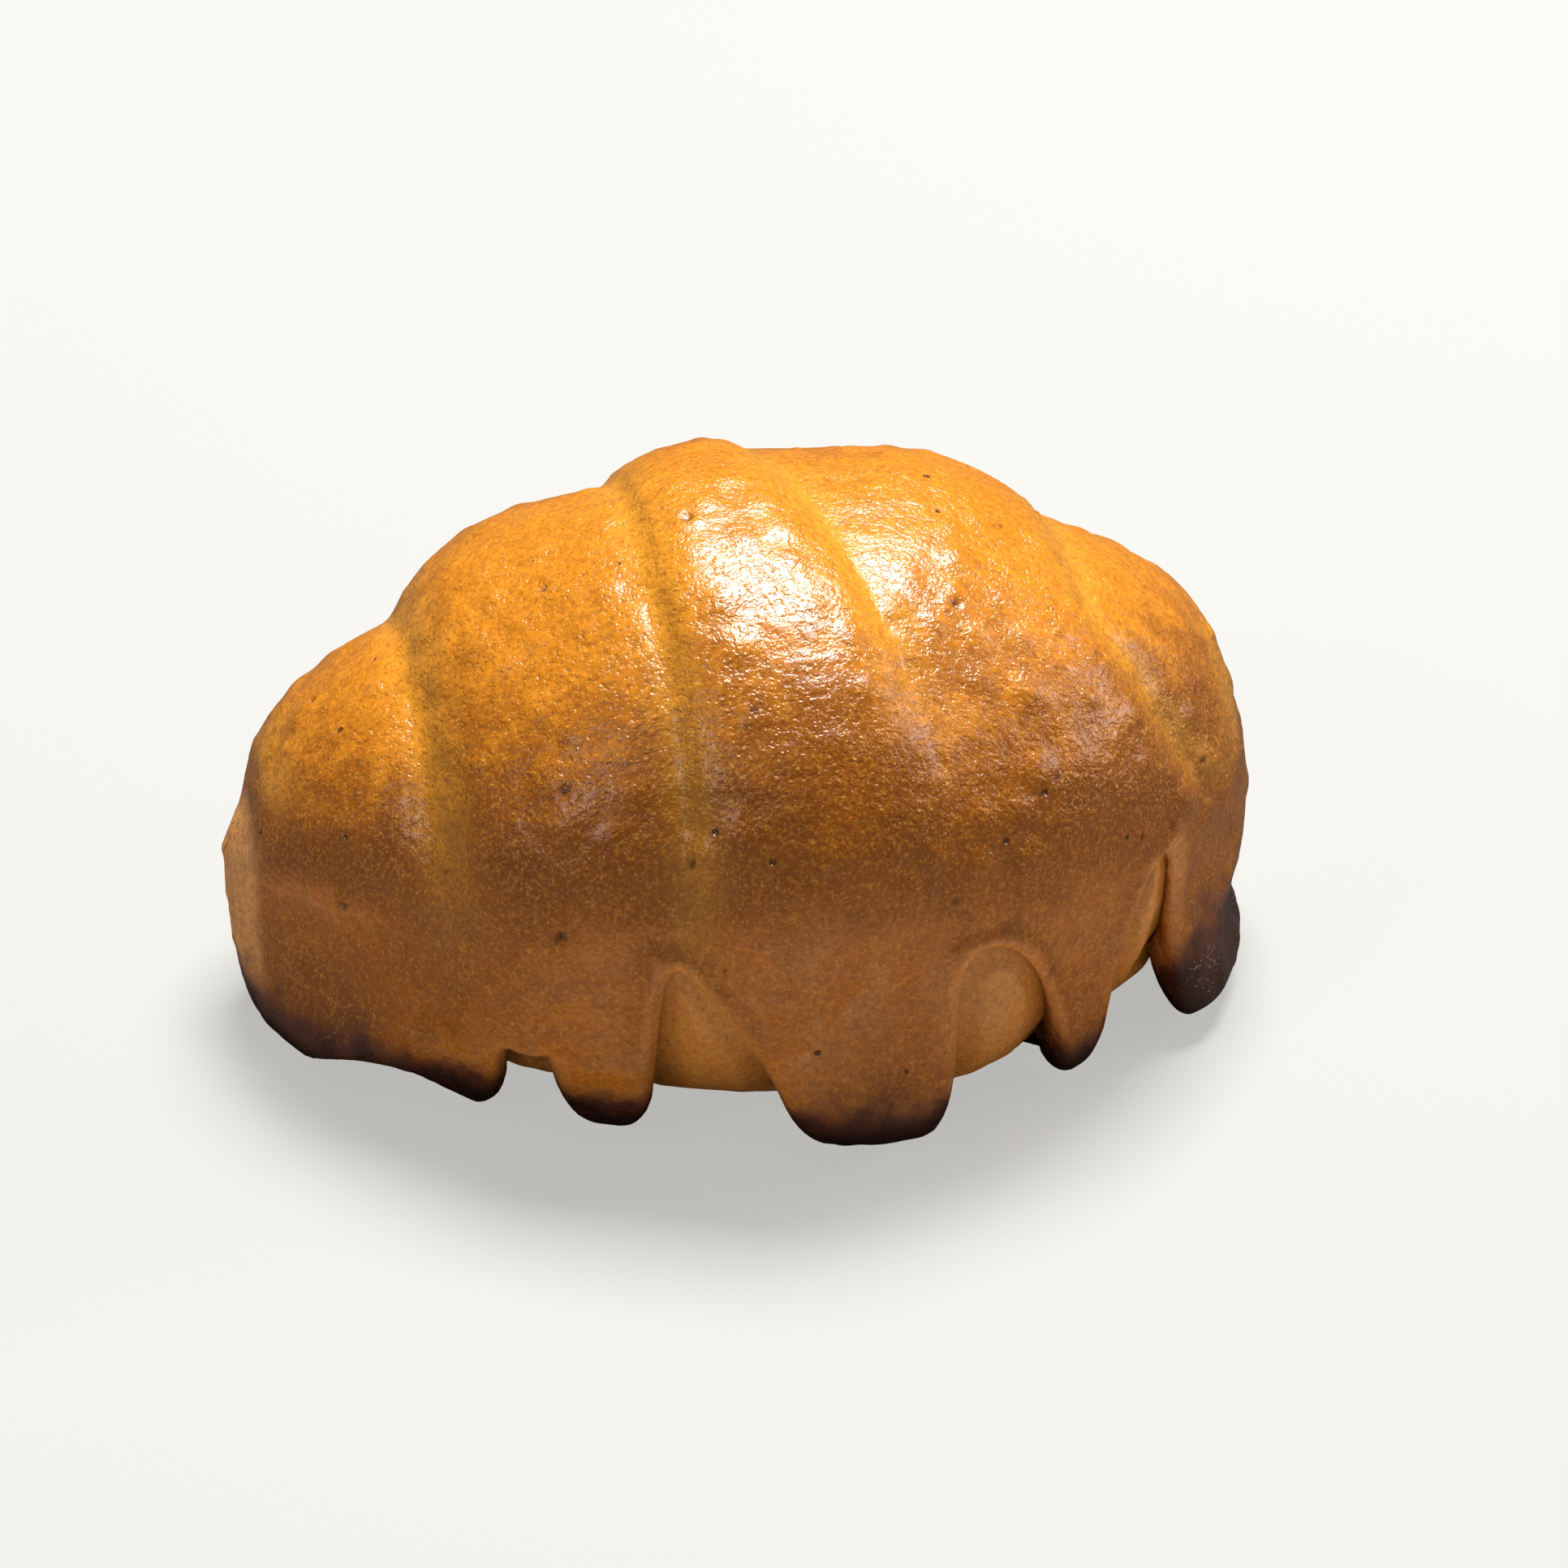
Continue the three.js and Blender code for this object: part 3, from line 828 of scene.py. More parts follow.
@dataclass(frozen=True)
class CrustFinish:
    """Sizes of the patterns of a crust in millimetres, its shine, its roughness and its relief."""

    name: str = "crust"
    blotch_size: float = 12.0
    fleck_size: float = 5.0
    grain_size: float = 0.75
    grain_height: float = 0.05
    wrinkle_size: float = 2.6
    wrinkle_height: float = 0.25
    pinhole_spacing: float = 5.0
    shine: float = 0.5
    satin: float = 0.4
    matte: float = 0.6
    bump: float = 1.0

    def read(self, g: Graph, patterns: CrustPatterns) -> dict[str, NodeSocket]:
        """Reads the shared patterns at the object's own places.

        Args:
            g: Graph of the material.
            patterns: Shared patterns of the crust.

        Returns:
            Their outputs by name, with the height over the tray as High.
        """
        own = g.node("ShaderNodeTexCoord").outputs["Object"]
        place = g.vector("SCALE", {0: own, "Scale": 1 / MM}).outputs[0]
        sizes = {**labelled(asdict(self)), "Place": place}
        outputs = {"High": g.node("ShaderNodeSeparateXYZ", {0: place}).outputs["Z"]}
        for tree in (patterns.mottle(), patterns.grain()):
            group = g.node("ShaderNodeGroup", node_tree=tree)
            g.feed(group, {socket.name: sizes[socket.name] for socket in group.inputs})
            outputs.update({socket.name: socket for socket in group.outputs})
        return outputs

    def bake(self, g: Graph, crust: dict[str, NodeSocket]) -> tuple[NodeSocket, NodeSocket]:
        """Colour of the crust and how dry it is, which each finish works out for itself."""
        raise NotImplementedError

    def material(self, patterns: CrustPatterns) -> Material:
        """Makes the material.

        Args:
            patterns: Shared patterns of the crust.

        Returns:
            The material.
        """
        material = bpy.data.materials.new(self.name)
        material.use_nodes = True
        g = Graph(material.node_tree)
        crust = self.read(g, patterns)
        colour, dry = self.bake(g, crust)
        bump = g.node("ShaderNodeBump", {"Strength": self.bump, "Distance": MM, "Height": crust["Height"]})
        look = {
            "Base Color": colour,
            "Specular IOR Level": self.shine,
            "Roughness": g.ramp(dry, 1.0, self.satin, self.matte),
            "Normal": bump.outputs["Normal"],
        }
        g.feed(material.node_tree.nodes["Principled BSDF"], look)
        return material


@dataclass(frozen=True)
class CoatFinish(CrustFinish):
    """Baked topping: golden on top, browner below, scorched at the ends of its drips. The golden tops and tan
    undersides follow which way the surface faces: partly real bake, partly painted light and shade.

    Shares are how much of a colour shows at most, spans run from where it starts to where it is full.
    """

    name: str = "baked topping coat"
    golden: Colour = (0.64, 0.215, 0.008)
    amber: Colour = (0.33, 0.092, 0.004)
    brown: Colour = (0.21, 0.055, 0.003)
    lower: Colour = (0.56, 0.165, 0.010)
    pale: Colour = (0.88, 0.42, 0.04)
    lip: Colour = (0.68, 0.31, 0.11)
    # Paler colour of the left tip: painted rim light.
    tip: Colour = (0.78, 0.37, 0.13)
    burnt: Colour = (0.13, 0.038, 0.016)
    scorch: Colour = (0.036, 0.011, 0.007)
    # Dark colour of pinholes and crater pits: painted shade in the pits.
    pore: Colour = (0.07, 0.02, 0.006)
    shine: float = 0.6
    satin: float = 0.26
    matte: float = 0.4
    level_fleck: float = 0.2
    golden_span: Span = (0.62, 1.03)
    low_span: Span = (0.2, -0.2)
    low_fleck: float = 0.9
    low_blotch: float = 0.4
    low_dry: float = 0.8
    brown_level: Span = (0.48, 0.5)
    brown_share: float = 0.9
    brown_dry: float = 0.2
    seam_share: float = 0.3
    lip_span: Span = (2.6, 0.4)
    lip_share: float = 0.5
    tip_fleck: float = 0.2
    tip_span: Span = (0.1, 0.6)
    tip_share: float = 0.7
    grit_full: float = 0.5
    grit_low: float = 0.9
    valley_share: float = 0.3
    meal_share: float = 0.45
    speck_share: float = 0.3
    scorch_fleck: float = 0.22
    burnt_span: Span = (0.0, 0.5)
    scorch_span: Span = (0.25, 0.75)
    pore_share: float = 0.85

    def bake(self, g: Graph, crust: dict[str, NodeSocket]) -> tuple[NodeSocket, NodeSocket]:
        """Lays the colours over each other, from the even bake up to the scorched ends and the painted shade
        in the pits.

        Args:
            g: Graph of the material.
            crust: Outputs of the shared patterns.

        Returns:
            The colour and how dry the coat is.
        """
        uneven = g.minus(crust["Fleck"], NOISE_MIDDLE)
        # Level rises where the surface faces up or towards the ends: partly real toast, partly painted light
        # and shade.
        level = g.plus(g.attribute("toasted"), g.times(uneven, self.level_fleck))
        low = g.step(level, *self.low_span)
        browned = g.times(crust["Blotch"], g.hump(level, *self.brown_level))
        flecked = (self.lip, crust["Fleck"], self.low_fleck)
        # Tan of the downward-facing parts: partly real colour, partly painted shade.
        tan_and_painted_shade = g.lay(self.lower, (flecked, (self.brown, crust["Blotch"], self.low_blotch)))
        # Left tip paled towards its end: painted rim light.
        tip = g.plus(g.attribute("tip"), g.times(crust["Fleck"], self.tip_fleck))
        gritty = g.ramp(level, self.grit_full, self.grit_low, 1.0)
        scorch = g.plus(g.attribute("scorch"), g.times(uneven, self.scorch_fleck))
        # Pinholes and crater pits darkened: painted shade.
        pore = g.math("MAXIMUM", crust["Pinhole"], g.attribute("pore"))
        layers = (
            # Golden on upward faces and tan on downward faces: partly real bake, partly painted light and
            # shade.
            (self.golden, g.step(level, *self.golden_span)),
            (tan_and_painted_shade, low),
            (self.brown, browned, self.brown_share),
            (self.pale, g.attribute("seam"), self.seam_share),
            (self.lip, g.step(g.attribute("edge"), *self.lip_span), self.lip_share),
            (self.tip, g.step(tip, *self.tip_span), self.tip_share),
            # Brown in the pebbles' valleys and pale on the bead tops: partly grain colour, partly painted
            # shade and glints.
            (self.brown, crust["Valley"], gritty, self.valley_share),
            (self.pale, crust["Meal"], gritty, self.meal_share),
            (self.brown, crust["Speck"], self.speck_share),
            (self.burnt, g.step(scorch, *self.burnt_span)),
            (self.scorch, g.step(scorch, *self.scorch_span)),
            (self.pore, pore, self.pore_share),
        )
        dry = g.plus(g.times(low, self.low_dry), g.times(browned, self.brown_dry))
        return g.lay(self.amber, layers), dry


@dataclass(frozen=True)
class DoughFinish(CrustFinish):
    """Bare dough between the drips: matte golden tan, darker where it meets the tray."""

    name: str = "bare dough crust"
    tan: Colour = (0.55, 0.21, 0.045)
    golden: Colour = (0.62, 0.23, 0.03)
    light: Colour = (0.78, 0.42, 0.14)
    dark: Colour = (0.13, 0.045, 0.012)
    pinhole_spacing: float = 8.0
    satin: float = 0.42
    matte: float = 0.62
    bump: float = 0.8
    meal_share: float = 0.5
    valley_share: float = 0.2
    speck_share: float = 0.2
    tray_fleck: float = 2.0
    tray_span: Span = (5.0, 0.6)
    tray_share: float = 0.75
    pinhole_share: float = 0.6

    def bake(self, g: Graph, crust: dict[str, NodeSocket]) -> tuple[NodeSocket, NodeSocket]:
        """Lays the colours over each other, from the even tan up to the pinholes.

        Args:
            g: Graph of the material.
            crust: Outputs of the shared patterns.

        Returns:
            The colour and how dry the dough is.
        """
        level = g.plus(crust["High"], g.times(crust["Fleck"], self.tray_fleck))
        layers = (
            (self.golden, crust["Blotch"]),
            # Light on the bead tops and dark in the pebbles' valleys: partly grain colour, partly painted
            # glints and shade.
            (self.light, crust["Meal"], self.meal_share),
            (self.dark, crust["Valley"], self.valley_share),
            (self.dark, crust["Speck"], self.speck_share),
            (self.dark, g.step(level, *self.tray_span), self.tray_share),
            # Pinholes darkened: painted shade.
            (self.dark, crust["Pinhole"], self.pinhole_share),
        )
        return g.lay(self.tan, layers), crust["Fleck"]


@dataclass(frozen=True)
class CrustRelief:
    """Craters, blisters and ripples of a baked skin, scattered over a mesh by nodes.

    Its spans are distances from the middle of a crater in the crater's own radii.
    """

    name: str = "crust relief"
    crater_spacing: float = 15.0
    crater_radius: float = 1.1
    crater_depth: float = 0.5
    blister_spacing: float = 4.5
    blister_radius: float = 3.4
    blister_height: float = 0.4
    ripple_length: float = 5.0
    ripple_height: float = 0.7
    seed: int = 7

    most_spots = 4e5
    least_chance = 0.3
    chance_power = 2.0
    pit_span = (0.85, 0.2)
    rim_outside = (2.1, 1.1)
    rim_inside = (1.05, 0.6)
    rim_share = 0.5
    ripple_draw = (0.6, 0.8, 1.0)
    ripple_layers = (4.0, 0.55)

    def sizes(self) -> dict[str, float]:
        """Lengths in metres by the name of their input."""
        lengths = {name: size * MM for name, size in asdict(self).items() if name not in ("name", "seed")}
        return labelled(lengths)

    @staticmethod
    def _cover(g: Graph) -> NodeSocket:
        """How far the relief is worked in at each point of the mesh."""
        return g.node("GeometryNodeInputNamedAttribute", {"Name": "cover"}, data_type="FLOAT").outputs[0]

    def _scatter(self, g: Graph, source: dict, kind: str, seed: Feed) -> tuple[NodeSocket, NodeSocket]:
        """Scatters spots over the mesh and finds the nearest one to each of its points.

        Args:
            g: Graph of the tree.
            source: Inputs of the tree.
            kind: Kind of spot that the inputs give a spacing and a largest radius for.
            seed: Seed of the scatter.

        Returns:
            Distance to the middle of the nearest spot in its own radii, and the spot's share of full size.
        """
        inputs = {
            "Mesh": source["Geometry"],
            "Distance Min": source[f"{kind} Spacing"],
            "Density Max": self.most_spots,
            "Density Factor": self._cover(g),
            "Seed": seed,
        }
        scatter = g.node("GeometryNodeDistributePointsOnFaces", inputs, distribute_method="POISSON")
        spots = scatter.outputs["Points"]
        place = g.node("GeometryNodeInputPosition").outputs[0]
        nearest = g.node("GeometryNodeSampleNearest", {"Geometry": spots}, domain="POINT").outputs[0]
        limits = {2: self.least_chance, 3: 1.0, "Seed": seed}
        chance = g.node("FunctionNodeRandomValue", limits, data_type="FLOAT").outputs[1]
        chance = g.math("POWER", chance, self.chance_power)
        found = []
        for value, form in ((place, "FLOAT_VECTOR"), (chance, "FLOAT")):
            inputs = {"Geometry": spots, "Value": value, "Index": nearest}
            found += g.node("GeometryNodeSampleIndex", inputs, data_type=form, domain="POINT").outputs[:1]
        middle, size = found
        gap = g.vector("DISTANCE", {0: place, 1: middle}).outputs["Value"]
        return g.per(gap, g.times(source[f"{kind} Radius"], size)), size

    def tree(self) -> NodeTree:
        """Builds the node tree.

        Returns:
            The tree, with its sizes as named inputs.
        """
        tree = bpy.data.node_groups.new(self.name, "GeometryNodeTree")
        kinds = {"Geometry": "Geometry", **dict.fromkeys(self.sizes(), "Float")}
        kinds.update({"Seed": "Int", "Material": "Material"})
        for label, kind in kinds.items():
            tree.interface.new_socket(name=label, in_out="INPUT", socket_type=f"NodeSocket{kind}")
        tree.interface.new_socket(name="Geometry", in_out="OUTPUT", socket_type="NodeSocketGeometry")
        g = Graph(tree)
        source = g.node("NodeGroupInput").outputs
        cover = self._cover(g)
        away, size = self._scatter(g, source, "Crater", source["Seed"])
        pit = g.step(away, *self.pit_span)
        rim = g.minus(g.step(away, *self.rim_outside), g.step(away, *self.rim_inside))
        crater = g.times(g.minus(g.times(rim, self.rim_share), pit), size)
        crater = g.times(crater, source["Crater Depth"])
        away, size = self._scatter(g, source, "Blister", g.plus(source["Seed"], 1.0))
        blister = g.times(g.times(g.step(away, 1.0, 0.0), size), source["Blister Height"])
        place = g.node("GeometryNodeInputPosition").outputs[0]
        drawn = g.vector("MULTIPLY", {0: place, 1: self.ripple_draw}).outputs[0]
        ripple = g.noise(drawn, g.per(1.0, source["Ripple Length"]), *self.ripple_layers)
        ripple = g.times(g.minus(ripple, NOISE_MIDDLE), source["Ripple Height"])
        lift = g.times(g.plus(g.plus(crater, blister), ripple), cover)
        normal = g.node("GeometryNodeInputNormal").outputs[0]
        offset = g.vector("SCALE", {0: normal, "Scale": lift}).outputs[0]
        # Crater pits are stored so that the finish can paint shade into them.
        pore = {"Geometry": source["Geometry"], "Name": "pore", "Value": g.times(pit, cover)}
        marked = g.node("GeometryNodeStoreNamedAttribute", pore, data_type="FLOAT", domain="POINT").outputs[0]
        moved = g.node("GeometryNodeSetPosition", {"Geometry": marked, "Offset": offset}).outputs[0]
        whole = g.node("GeometryNodeRealizeInstances", {"Geometry": moved}).outputs[0]
        dress = {"Geometry": whole, "Material": source["Material"]}
        dressed = g.node("GeometryNodeSetMaterial", dress).outputs[0]
        g.node("NodeGroupOutput", {"Geometry": dressed})
        return tree

    def apply(self, piece: Object, material: Material) -> None:
        """Works the relief into a piece's mesh and gives it its material.

        Args:
            piece: Piece whose mesh has a cover value at its points.
            material: Finish of the piece.
        """
        tree = self.tree()
        values = {**self.sizes(), "Seed": self.seed, "Material": material}
        modifier = piece.modifiers.new(self.name, "NODES")
        modifier.node_group = tree
        for socket in tree.interface.items_tree:
            if socket.in_out == "INPUT" and socket.name in values:
                modifier[socket.identifier] = values[socket.name]
        graph = bpy.context.evaluated_depsgraph_get()
        worked = piece.evaluated_get(graph)
        mesh = bpy.data.meshes.new_from_object(worked, preserve_all_data_layers=True, depsgraph=graph)
        piece.modifiers.clear()
        plain = piece.data
        piece.data = mesh
        bpy.data.meshes.remove(plain)
        mesh.name = piece.name


class RollPiece:
    """A piece of the roll: a mesh with values at its points, its relief and its place on the frame."""

    node = ""
    slot = ""
    # Share of the ends' sideways facing added to the toast value: painted light on the roll's ends.
    end_toast = 0.35

    def mesh_object(self, points: Array, loops: list[list[int]], values: dict[str, Array]) -> Object:
        """Makes an object of the points that its faces use.

        Args:
            points: Points in millimetres.
            loops: Corners of the faces.
            values: Value of each point by name.

        Returns:
            The object.
        """
        used = np.unique(np.concatenate([np.asarray(loop) for loop in loops]))
        number = np.zeros(len(points), dtype=int)
        number[used] = np.arange(len(used))
        mesh = bpy.data.meshes.new(self.node)
        faces = [number[loop].tolist() for loop in loops]
        mesh.from_pydata((points[used] * MM).tolist(), [], faces)
        for name, value in values.items():
            layer = mesh.attributes.new(name, "FLOAT", "POINT")
            layer.data.foreach_set("value", value[used].astype(np.float32))
        mesh.shade_smooth()
        normals = np.zeros(3 * len(used), dtype=np.float32)
        mesh.vertex_normals.foreach_get("vector", normals)
        # Points facing up or towards the ends count as more toasted: partly real bake, partly painted light
        # and shade on top and on the ends.
        toasted = normals[2::3] + self.end_toast * np.abs(normals[0::3])
        mesh.attributes.new("toasted", "FLOAT", "POINT").data.foreach_set("value", toasted)
        piece = bpy.data.objects.new(f"{self.node}_piece", mesh)
        bpy.context.scene.collection.objects.link(piece)
        return piece

    def settle(self, piece: Object) -> None:
        """Puts the piece on the frame in place of its solid and reports it.

        Args:
            piece: Finished piece.
        """
        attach(piece, "root")
        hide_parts(self.node)
        triangles = sum(len(face.vertices) - 2 for face in piece.data.polygons)
        LOG.info("%s: %d points, %d triangles", piece.name, len(piece.data.vertices), triangles)


@dataclass
class DoughRoll(RollPiece):
    """The rolled dough, seen in the gaps between the drips and from below."""

    form: RollForm
    edge: CoatEdge
    relief: CrustRelief
    rings: int = 220
    columns: int = 280
    puff: float = 1.3
    puff_reach: float = 4.5
    puff_rise: Span = (1.0, 8.0)
    cover_share: float = 0.6
    cover_rise: Span = (0.0, 2.0)

    node = "dough_roll"
    slot = "dough_crust"

    def build(self, finish: DoughFinish, patterns: CrustPatterns) -> Object:
        """Builds and dresses the dough, which puffs out a little in the gaps.

        Args:
            finish: Finish of the bare dough.
            patterns: Shared patterns of the crust.

        Returns:
            The piece.
        """
        grid = Grid(self.form, DOUGH_SKIN, self.rings, self.columns)
        points = self.form.points(grid.phi, grid.theta, DOUGH_SKIN)
        puffed = self.form.points(grid.phi, grid.theta, replace(DOUGH_SKIN, grow=self.puff))
        outside = self.form.points(grid.phi, grid.theta, COAT_SKIN)
        bare = smooth(-self.edge.distance(self.form, grid, outside), 0.0, self.puff_reach)
        bare = bare * smooth(points[:, 2], *self.puff_rise)
        points = points + (puffed - points) * bare[:, None]
        loops = grid.quads().reshape(-1, 4).tolist() + grid.fans()
        cover = self.cover_share * smooth(points[:, 2], *self.cover_rise)
        piece = self.mesh_object(points, loops, {"cover": cover})
        self.relief.apply(piece, finish.material(patterns))
        self.settle(piece)
        return piece


@dataclass
class ToppingCoat(RollPiece):
    """The poured coat: a closed shell over the dough that ends in drips."""

    form: RollForm
    edge: CoatEdge
    relief: CrustRelief
    rings: int = 281
    columns: int = 356
    block: int = 4
    lip_radius: float = 2.0
    lip_limit: float = 3.8
    lip_ring: float = 0.45
    bead_out: float = 1.7
    bead_spread: float = 1.0
    bead_height: float = 0.6
    bead_rise: Span = (3.0, 8.0)
    cover_edge: Span = (0.3, 3.0)
    cover_rise: Span = (0.2, 2.5)
    seam_reach: float = 2.6
    tip_span: Span = (53.5, 57.0)
    scorch_low: float = 1.0
    scorch_high: float = 13.0
    scorch_right: float = 8.0
    right_along: Span = (38.0, 48.0)
    right_across: Span = (14.0, -6.0)

    node = "topping_coat"
    slot = "baked_coat"

    def outer_loops(self, grid: Grid, cutter: EdgeCutter, distance: Array) -> list[list[int]]:
        """Faces of the outside, cut along the edge and once more on the round of the lip.

        Args:
            grid: Places on the roll.
            cutter: Cutter of the faces.
            distance: Distances from the edge.

        Returns:
            Corners of the faces.
        """
        quads = grid.quads().reshape(-1, 4)
        reach = distance[quads]
        loops = quads[(reach > self.lip_ring).all(axis=1)].tolist()
        near = quads[(reach > 0).any(axis=1) & (reach <= self.lip_ring).any(axis=1)].tolist()
        for loop in near + grid.fans():
            covered = cutter.cut(loop, 0.0, True)
            for beyond in (True, False):
                part = cutter.cut(covered, self.lip_ring, beyond)
                if len(part) > 2:
                    loops.append(part)
        return loops

    def inner_loops(self, grid: Grid, cutter: EdgeCutter, distance: Array) -> list[list[int]]:
        """Faces of the hollow: large blocks where it is whole, single faces along the edge.

        Args:
            grid: Places on the roll.
            cutter: Cutter of the faces.
            distance: Distances from the edge.

        Returns:
            Corners of the faces, in inward order.
        """
        quads = grid.quads()
        size = self.block
        covered = distance[quads] > 0
        blocks = covered.all(axis=2).reshape((grid.rings - 1) // size, size, grid.columns // size, size)
        blocks = blocks.all(axis=(1, 3))
        loops = [self._block_loop(grid, blocks, i, j) for i, j in np.argwhere(blocks).tolist()]
        single = ~np.repeat(np.repeat(blocks, size, axis=0), size, axis=1) & covered.any(axis=2)
        for loop in quads[single].tolist() + grid.fans():
            part = cutter.cut(loop, 0.0, True)
            if len(part) > 2:
                loops.append(part)
        return [loop[::-1] for loop in loops]

    def _block_loop(self, grid: Grid, blocks: Array, i: int, j: int) -> list[int]:
        """Outline of one block, with every place on the sides where no block follows.

        Args:
            grid: Places on the roll.
            blocks: Which blocks are whole.
            i: Row of the block.
            j: Column of the block.

        Returns:
            Corners in outward order.
        """
        size = self.block
        ring, column = i * size, j * size
        rows, columns = blocks.shape
        ends = range(size)
        sides = (
            (blocks[i, j - 1], [(ring + k, column) for k in ends]),
            (i + 1 < rows and blocks[min(i + 1, rows - 1), j], [(ring + size, column + k) for k in ends]),
            (blocks[i, (j + 1) % columns], [(ring + size - k, column + size) for k in ends]),
            (i > 0 and blocks[i - 1, j], [(ring, column + size - k) for k in ends]),
        )
        return [grid.at(*place) for joined, places in sides for place in (places[:1] if joined else places)]

    def skin(self, hollow: Array, outside: Array, distance: Array) -> Array:
        """Outside of the coat, drawn in to the dough round its edge, with a bead behind the lip.

        Args:
            hollow: Points of the hollow that lies on the dough.
            outside: Points of the full outside.
            distance: Distances from the edge.

        Returns:
            Points in millimetres.
        """
        thick = np.linalg.norm(outside - hollow, axis=1)
        lip = np.clip(thick, self.lip_radius, self.lip_limit)
        full = np.sqrt(1 - (1 - np.clip(distance / lip, 0, 1)) ** 2)
        bead = hump(distance, self.bead_out, self.bead_spread) * smooth(outside[:, 2], *self.bead_rise)
        full = full * (1 + self.bead_height * bead / np.maximum(thick, self.lip_radius))
        return hollow + (outside - hollow) * full[:, None]

    def values(self, skin: Array, hollow: Array, distance: Array) -> dict[str, Array]:
        """Values that the relief and the finish read, first on the outside and then in the hollow.

        Args:
            skin: Points of the outside.
            hollow: Points of the hollow.
            distance: Distances from the edge.

        Returns:
            Value of each point by name.
        """
        x, y, z = np.concatenate((skin, hollow)).T
        theta = np.arctan2(z - self.form.axis_height, -y)
        theta = np.where(theta < -QUARTER, theta + 2 * math.pi, theta)
        cover = smooth(distance, *self.cover_edge) * smooth(skin[:, 2], *self.cover_rise)
        right = smooth(skin[:, 0], *self.right_along) * smooth(skin[:, 1], *self.right_across)
        scorch_high = self.scorch_high + self.scorch_right * right
        scorch = 1 - smooth(skin[:, 2], self.scorch_low, scorch_high)
        nothing = np.zeros(len(distance))
        return {
            "cover": np.concatenate((cover, nothing)),
            "edge": np.concatenate((np.clip(distance, 0, self.edge.far), nothing)),
            "seam": self.form.seam_mask(x, theta, self.seam_reach),
            # Mask of the left tip for the finish's painted rim light.
            "tip": smooth(-x, *self.tip_span),
            # The hollow gets full scorch, so its dark colour is painted shade in the crack under the coat.
            "scorch": np.concatenate((scorch, nothing + 1)),
        }

    def build(self, finish: CoatFinish, patterns: CrustPatterns) -> Object:
        """Builds and dresses the coat.

        Args:
            finish: Finish of the coat.
            patterns: Shared patterns of the crust.

        Returns:
            The piece.
        """
        grid = Grid(self.form, COAT_SKIN, self.rings, self.columns)
        hollow = self.form.points(grid.phi, grid.theta, HOLLOW_SKIN)
        outside = self.form.points(grid.phi, grid.theta, COAT_SKIN)
        distance = self.edge.distance(self.form, grid, outside)
        cutter = EdgeCutter(hollow, outside, distance)
        outer = self.outer_loops(grid, cutter, distance)
        inner = self.inner_loops(grid, cutter, distance)
        hollow, outside, distance = map(np.array, (cutter.hollow, cutter.outside, cutter.distance))
        skin = self.skin(hollow, outside, distance)
        shift = np.where(distance == 0, 0, len(distance))
        loops = outer + [[k + int(shift[k]) for k in loop] for loop in inner]
        values = self.values(skin, hollow, distance)
        piece = self.mesh_object(np.concatenate((skin, hollow)), loops, values)
        self.relief.apply(piece, finish.material(patterns))
        self.settle(piece)
        return piece


@dataclass(frozen=True)
class SoftLight:
    """A soft light: where it hangs, the width and height of its face, and its power in watts."""

    name: str
    place: Place
    size: Span
    power: float

    def hang(self, target: Vector) -> None:
        """Hangs the light so that it faces the target.

        Args:
            target: Place to face.
        """
        lamp = bpy.data.lights.new(self.name, "AREA")
        lamp.shape = "RECTANGLE"
        lamp.size, lamp.size_y = self.size
        lamp.energy = self.power
        holder = bpy.data.objects.new(self.name, lamp)
        holder.location = self.place
        aim = target - Vector(self.place)
        holder.rotation_euler = aim.to_track_quat("-Z", "Y").to_euler()
        bpy.context.scene.collection.objects.link(holder)


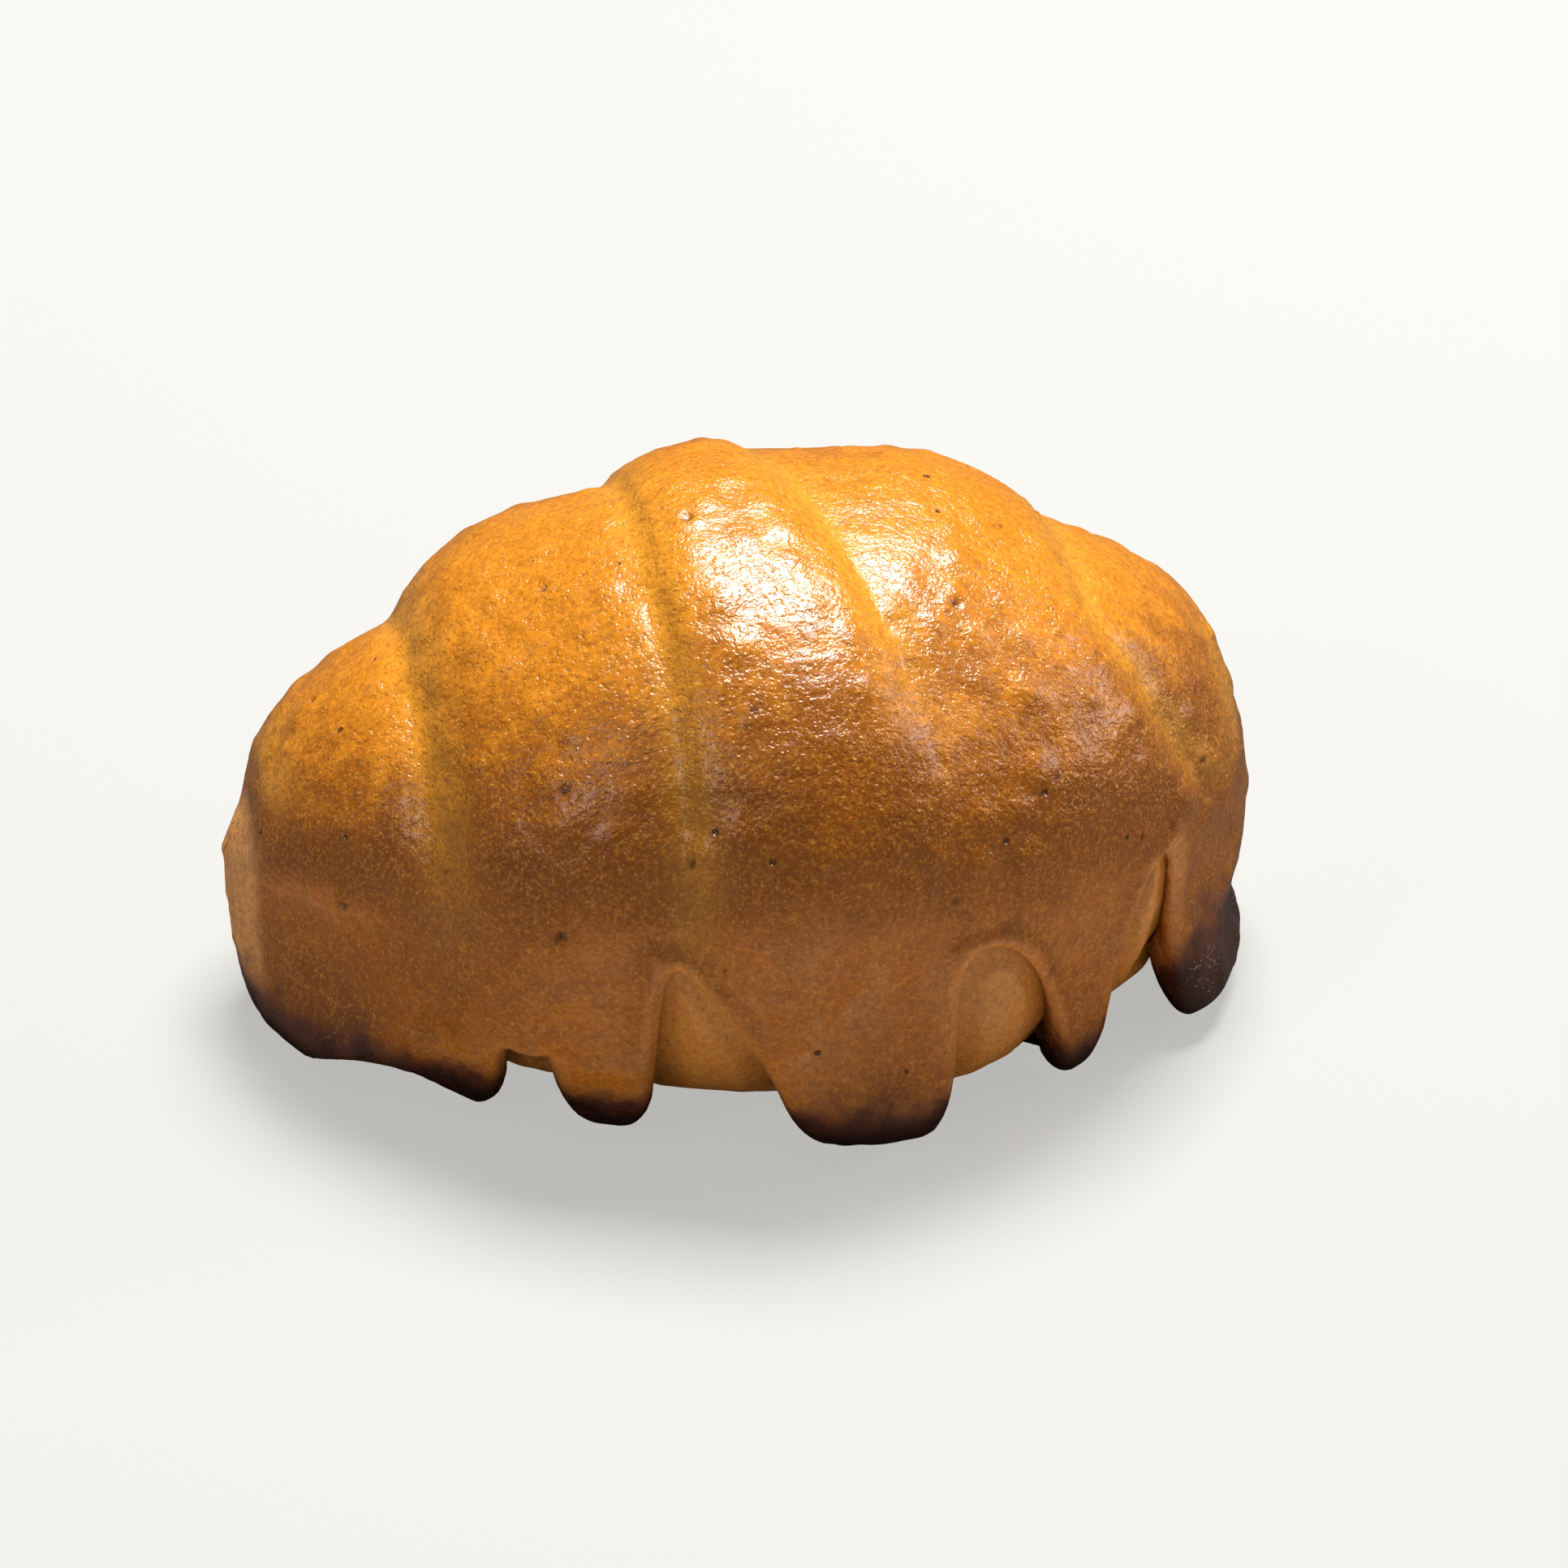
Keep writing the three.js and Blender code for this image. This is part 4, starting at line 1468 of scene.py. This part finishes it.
@dataclass(frozen=True)
class Studio:
    """Pale floor, soft light from above and the camera."""

    azimuth: float = -10.65
    elevation: float = 30.0
    distance: float = 0.6
    target: Place = (0.0, 0.0, 0.030)
    sensor: float = 36.0
    lens: float = 126.8
    shift_x: float = 0.0181
    shift_y: float = -0.0155
    floor_size: float = 6.0
    floor_colour: Colour = (0.205, 0.203, 0.195)
    floor_glow: Colour = (0.475, 0.47, 0.45)
    floor_bounce: Colour = (0.6, 0.55, 0.46)
    floor_mirrored: Colour = (0.06, 0.055, 0.05)
    floor_roughness: float = 0.9
    sky: float = 0.08
    soft_lights: tuple[SoftLight, ...] = (
        SoftLight("overhead softbox", (0.22, 0.43, 1.37), (0.72, 0.58), 46.0),
        SoftLight("side fill", (-0.83, -0.56, 0.68), (0.3, 0.3), 1.8),
        SoftLight("right end fill", (0.95, 0.0, 0.45), (0.4, 0.4), 2.6),
    )

    def floor(self) -> None:
        """Lays the floor, which has its own colour for the camera, for mirrored and for other light."""
        half = self.floor_size / 2
        mesh = bpy.data.meshes.new("floor")
        corners = [(-half, -half, 0), (half, -half, 0), (half, half, 0), (-half, half, 0)]
        mesh.from_pydata(corners, [], [(0, 1, 2, 3)])
        floor = bpy.data.objects.new("floor", mesh)
        bpy.context.scene.collection.objects.link(floor)
        material = bpy.data.materials.new("pale floor")
        material.use_nodes = True
        g = Graph(material.node_tree)
        ray = g.node("ShaderNodeLightPath").outputs
        seen = ray["Is Camera Ray"]
        layers = ((self.floor_mirrored, ray["Is Glossy Ray"]), (self.floor_colour, seen))
        look = {
            "Base Color": g.lay(self.floor_bounce, layers),
            "Emission Color": g.opaque(self.floor_glow),
            "Emission Strength": seen,
            "Roughness": self.floor_roughness,
            "Specular IOR Level": 0.0,
        }
        g.feed(material.node_tree.nodes["Principled BSDF"], look)
        mesh.materials.append(material)

    def lights(self) -> None:
        """Sets the sky and hangs the soft lights."""
        world = bpy.data.worlds.new("studio")
        world.use_nodes = True
        background = world.node_tree.nodes["Background"]
        background.inputs["Color"].default_value = (1.0, 1.0, 1.0, 1.0)
        background.inputs["Strength"].default_value = self.sky
        bpy.context.scene.world = world
        for light in self.soft_lights:
            light.hang(Vector(self.target))

    def camera(self) -> None:
        """Sets the camera at the photograph's viewing angle."""
        turn, rise = math.radians(self.azimuth), math.radians(self.elevation)
        back = Vector((math.sin(turn) * math.cos(rise), -math.cos(turn) * math.cos(rise), math.sin(rise)))
        data = bpy.data.cameras.new("camera")
        data.sensor_width = self.sensor
        data.lens = self.lens
        data.shift_x = self.shift_x
        data.shift_y = self.shift_y
        camera = bpy.data.objects.new("camera", data)
        camera.location = Vector(self.target) + back * self.distance
        camera.rotation_euler = (-back).to_track_quat("-Z", "Y").to_euler()
        bpy.context.scene.collection.objects.link(camera)
        bpy.context.scene.camera = camera

    def build(self) -> None:
        """Sets the whole studio."""
        bpy.context.scene.view_settings.view_transform = "Standard"
        self.floor()
        self.lights()
        self.camera()


def main() -> None:
    """Builds the pieces and the studio."""
    logging.basicConfig(level=logging.INFO, format="%(name)s: %(message)s")
    form = RollForm()
    patterns = CrustPatterns()
    edge = CoatEdge(GAPS)
    dough_relief = CrustRelief("dough relief", ripple_height=0.4, seed=3)
    coat_relief = CrustRelief("coat relief", seed=7)
    DoughRoll(form, edge, dough_relief).build(DoughFinish(), patterns)
    ToppingCoat(form, edge, coat_relief).build(CoatFinish(), patterns)
    Studio().build()


if __name__ == "__main__":
    main()
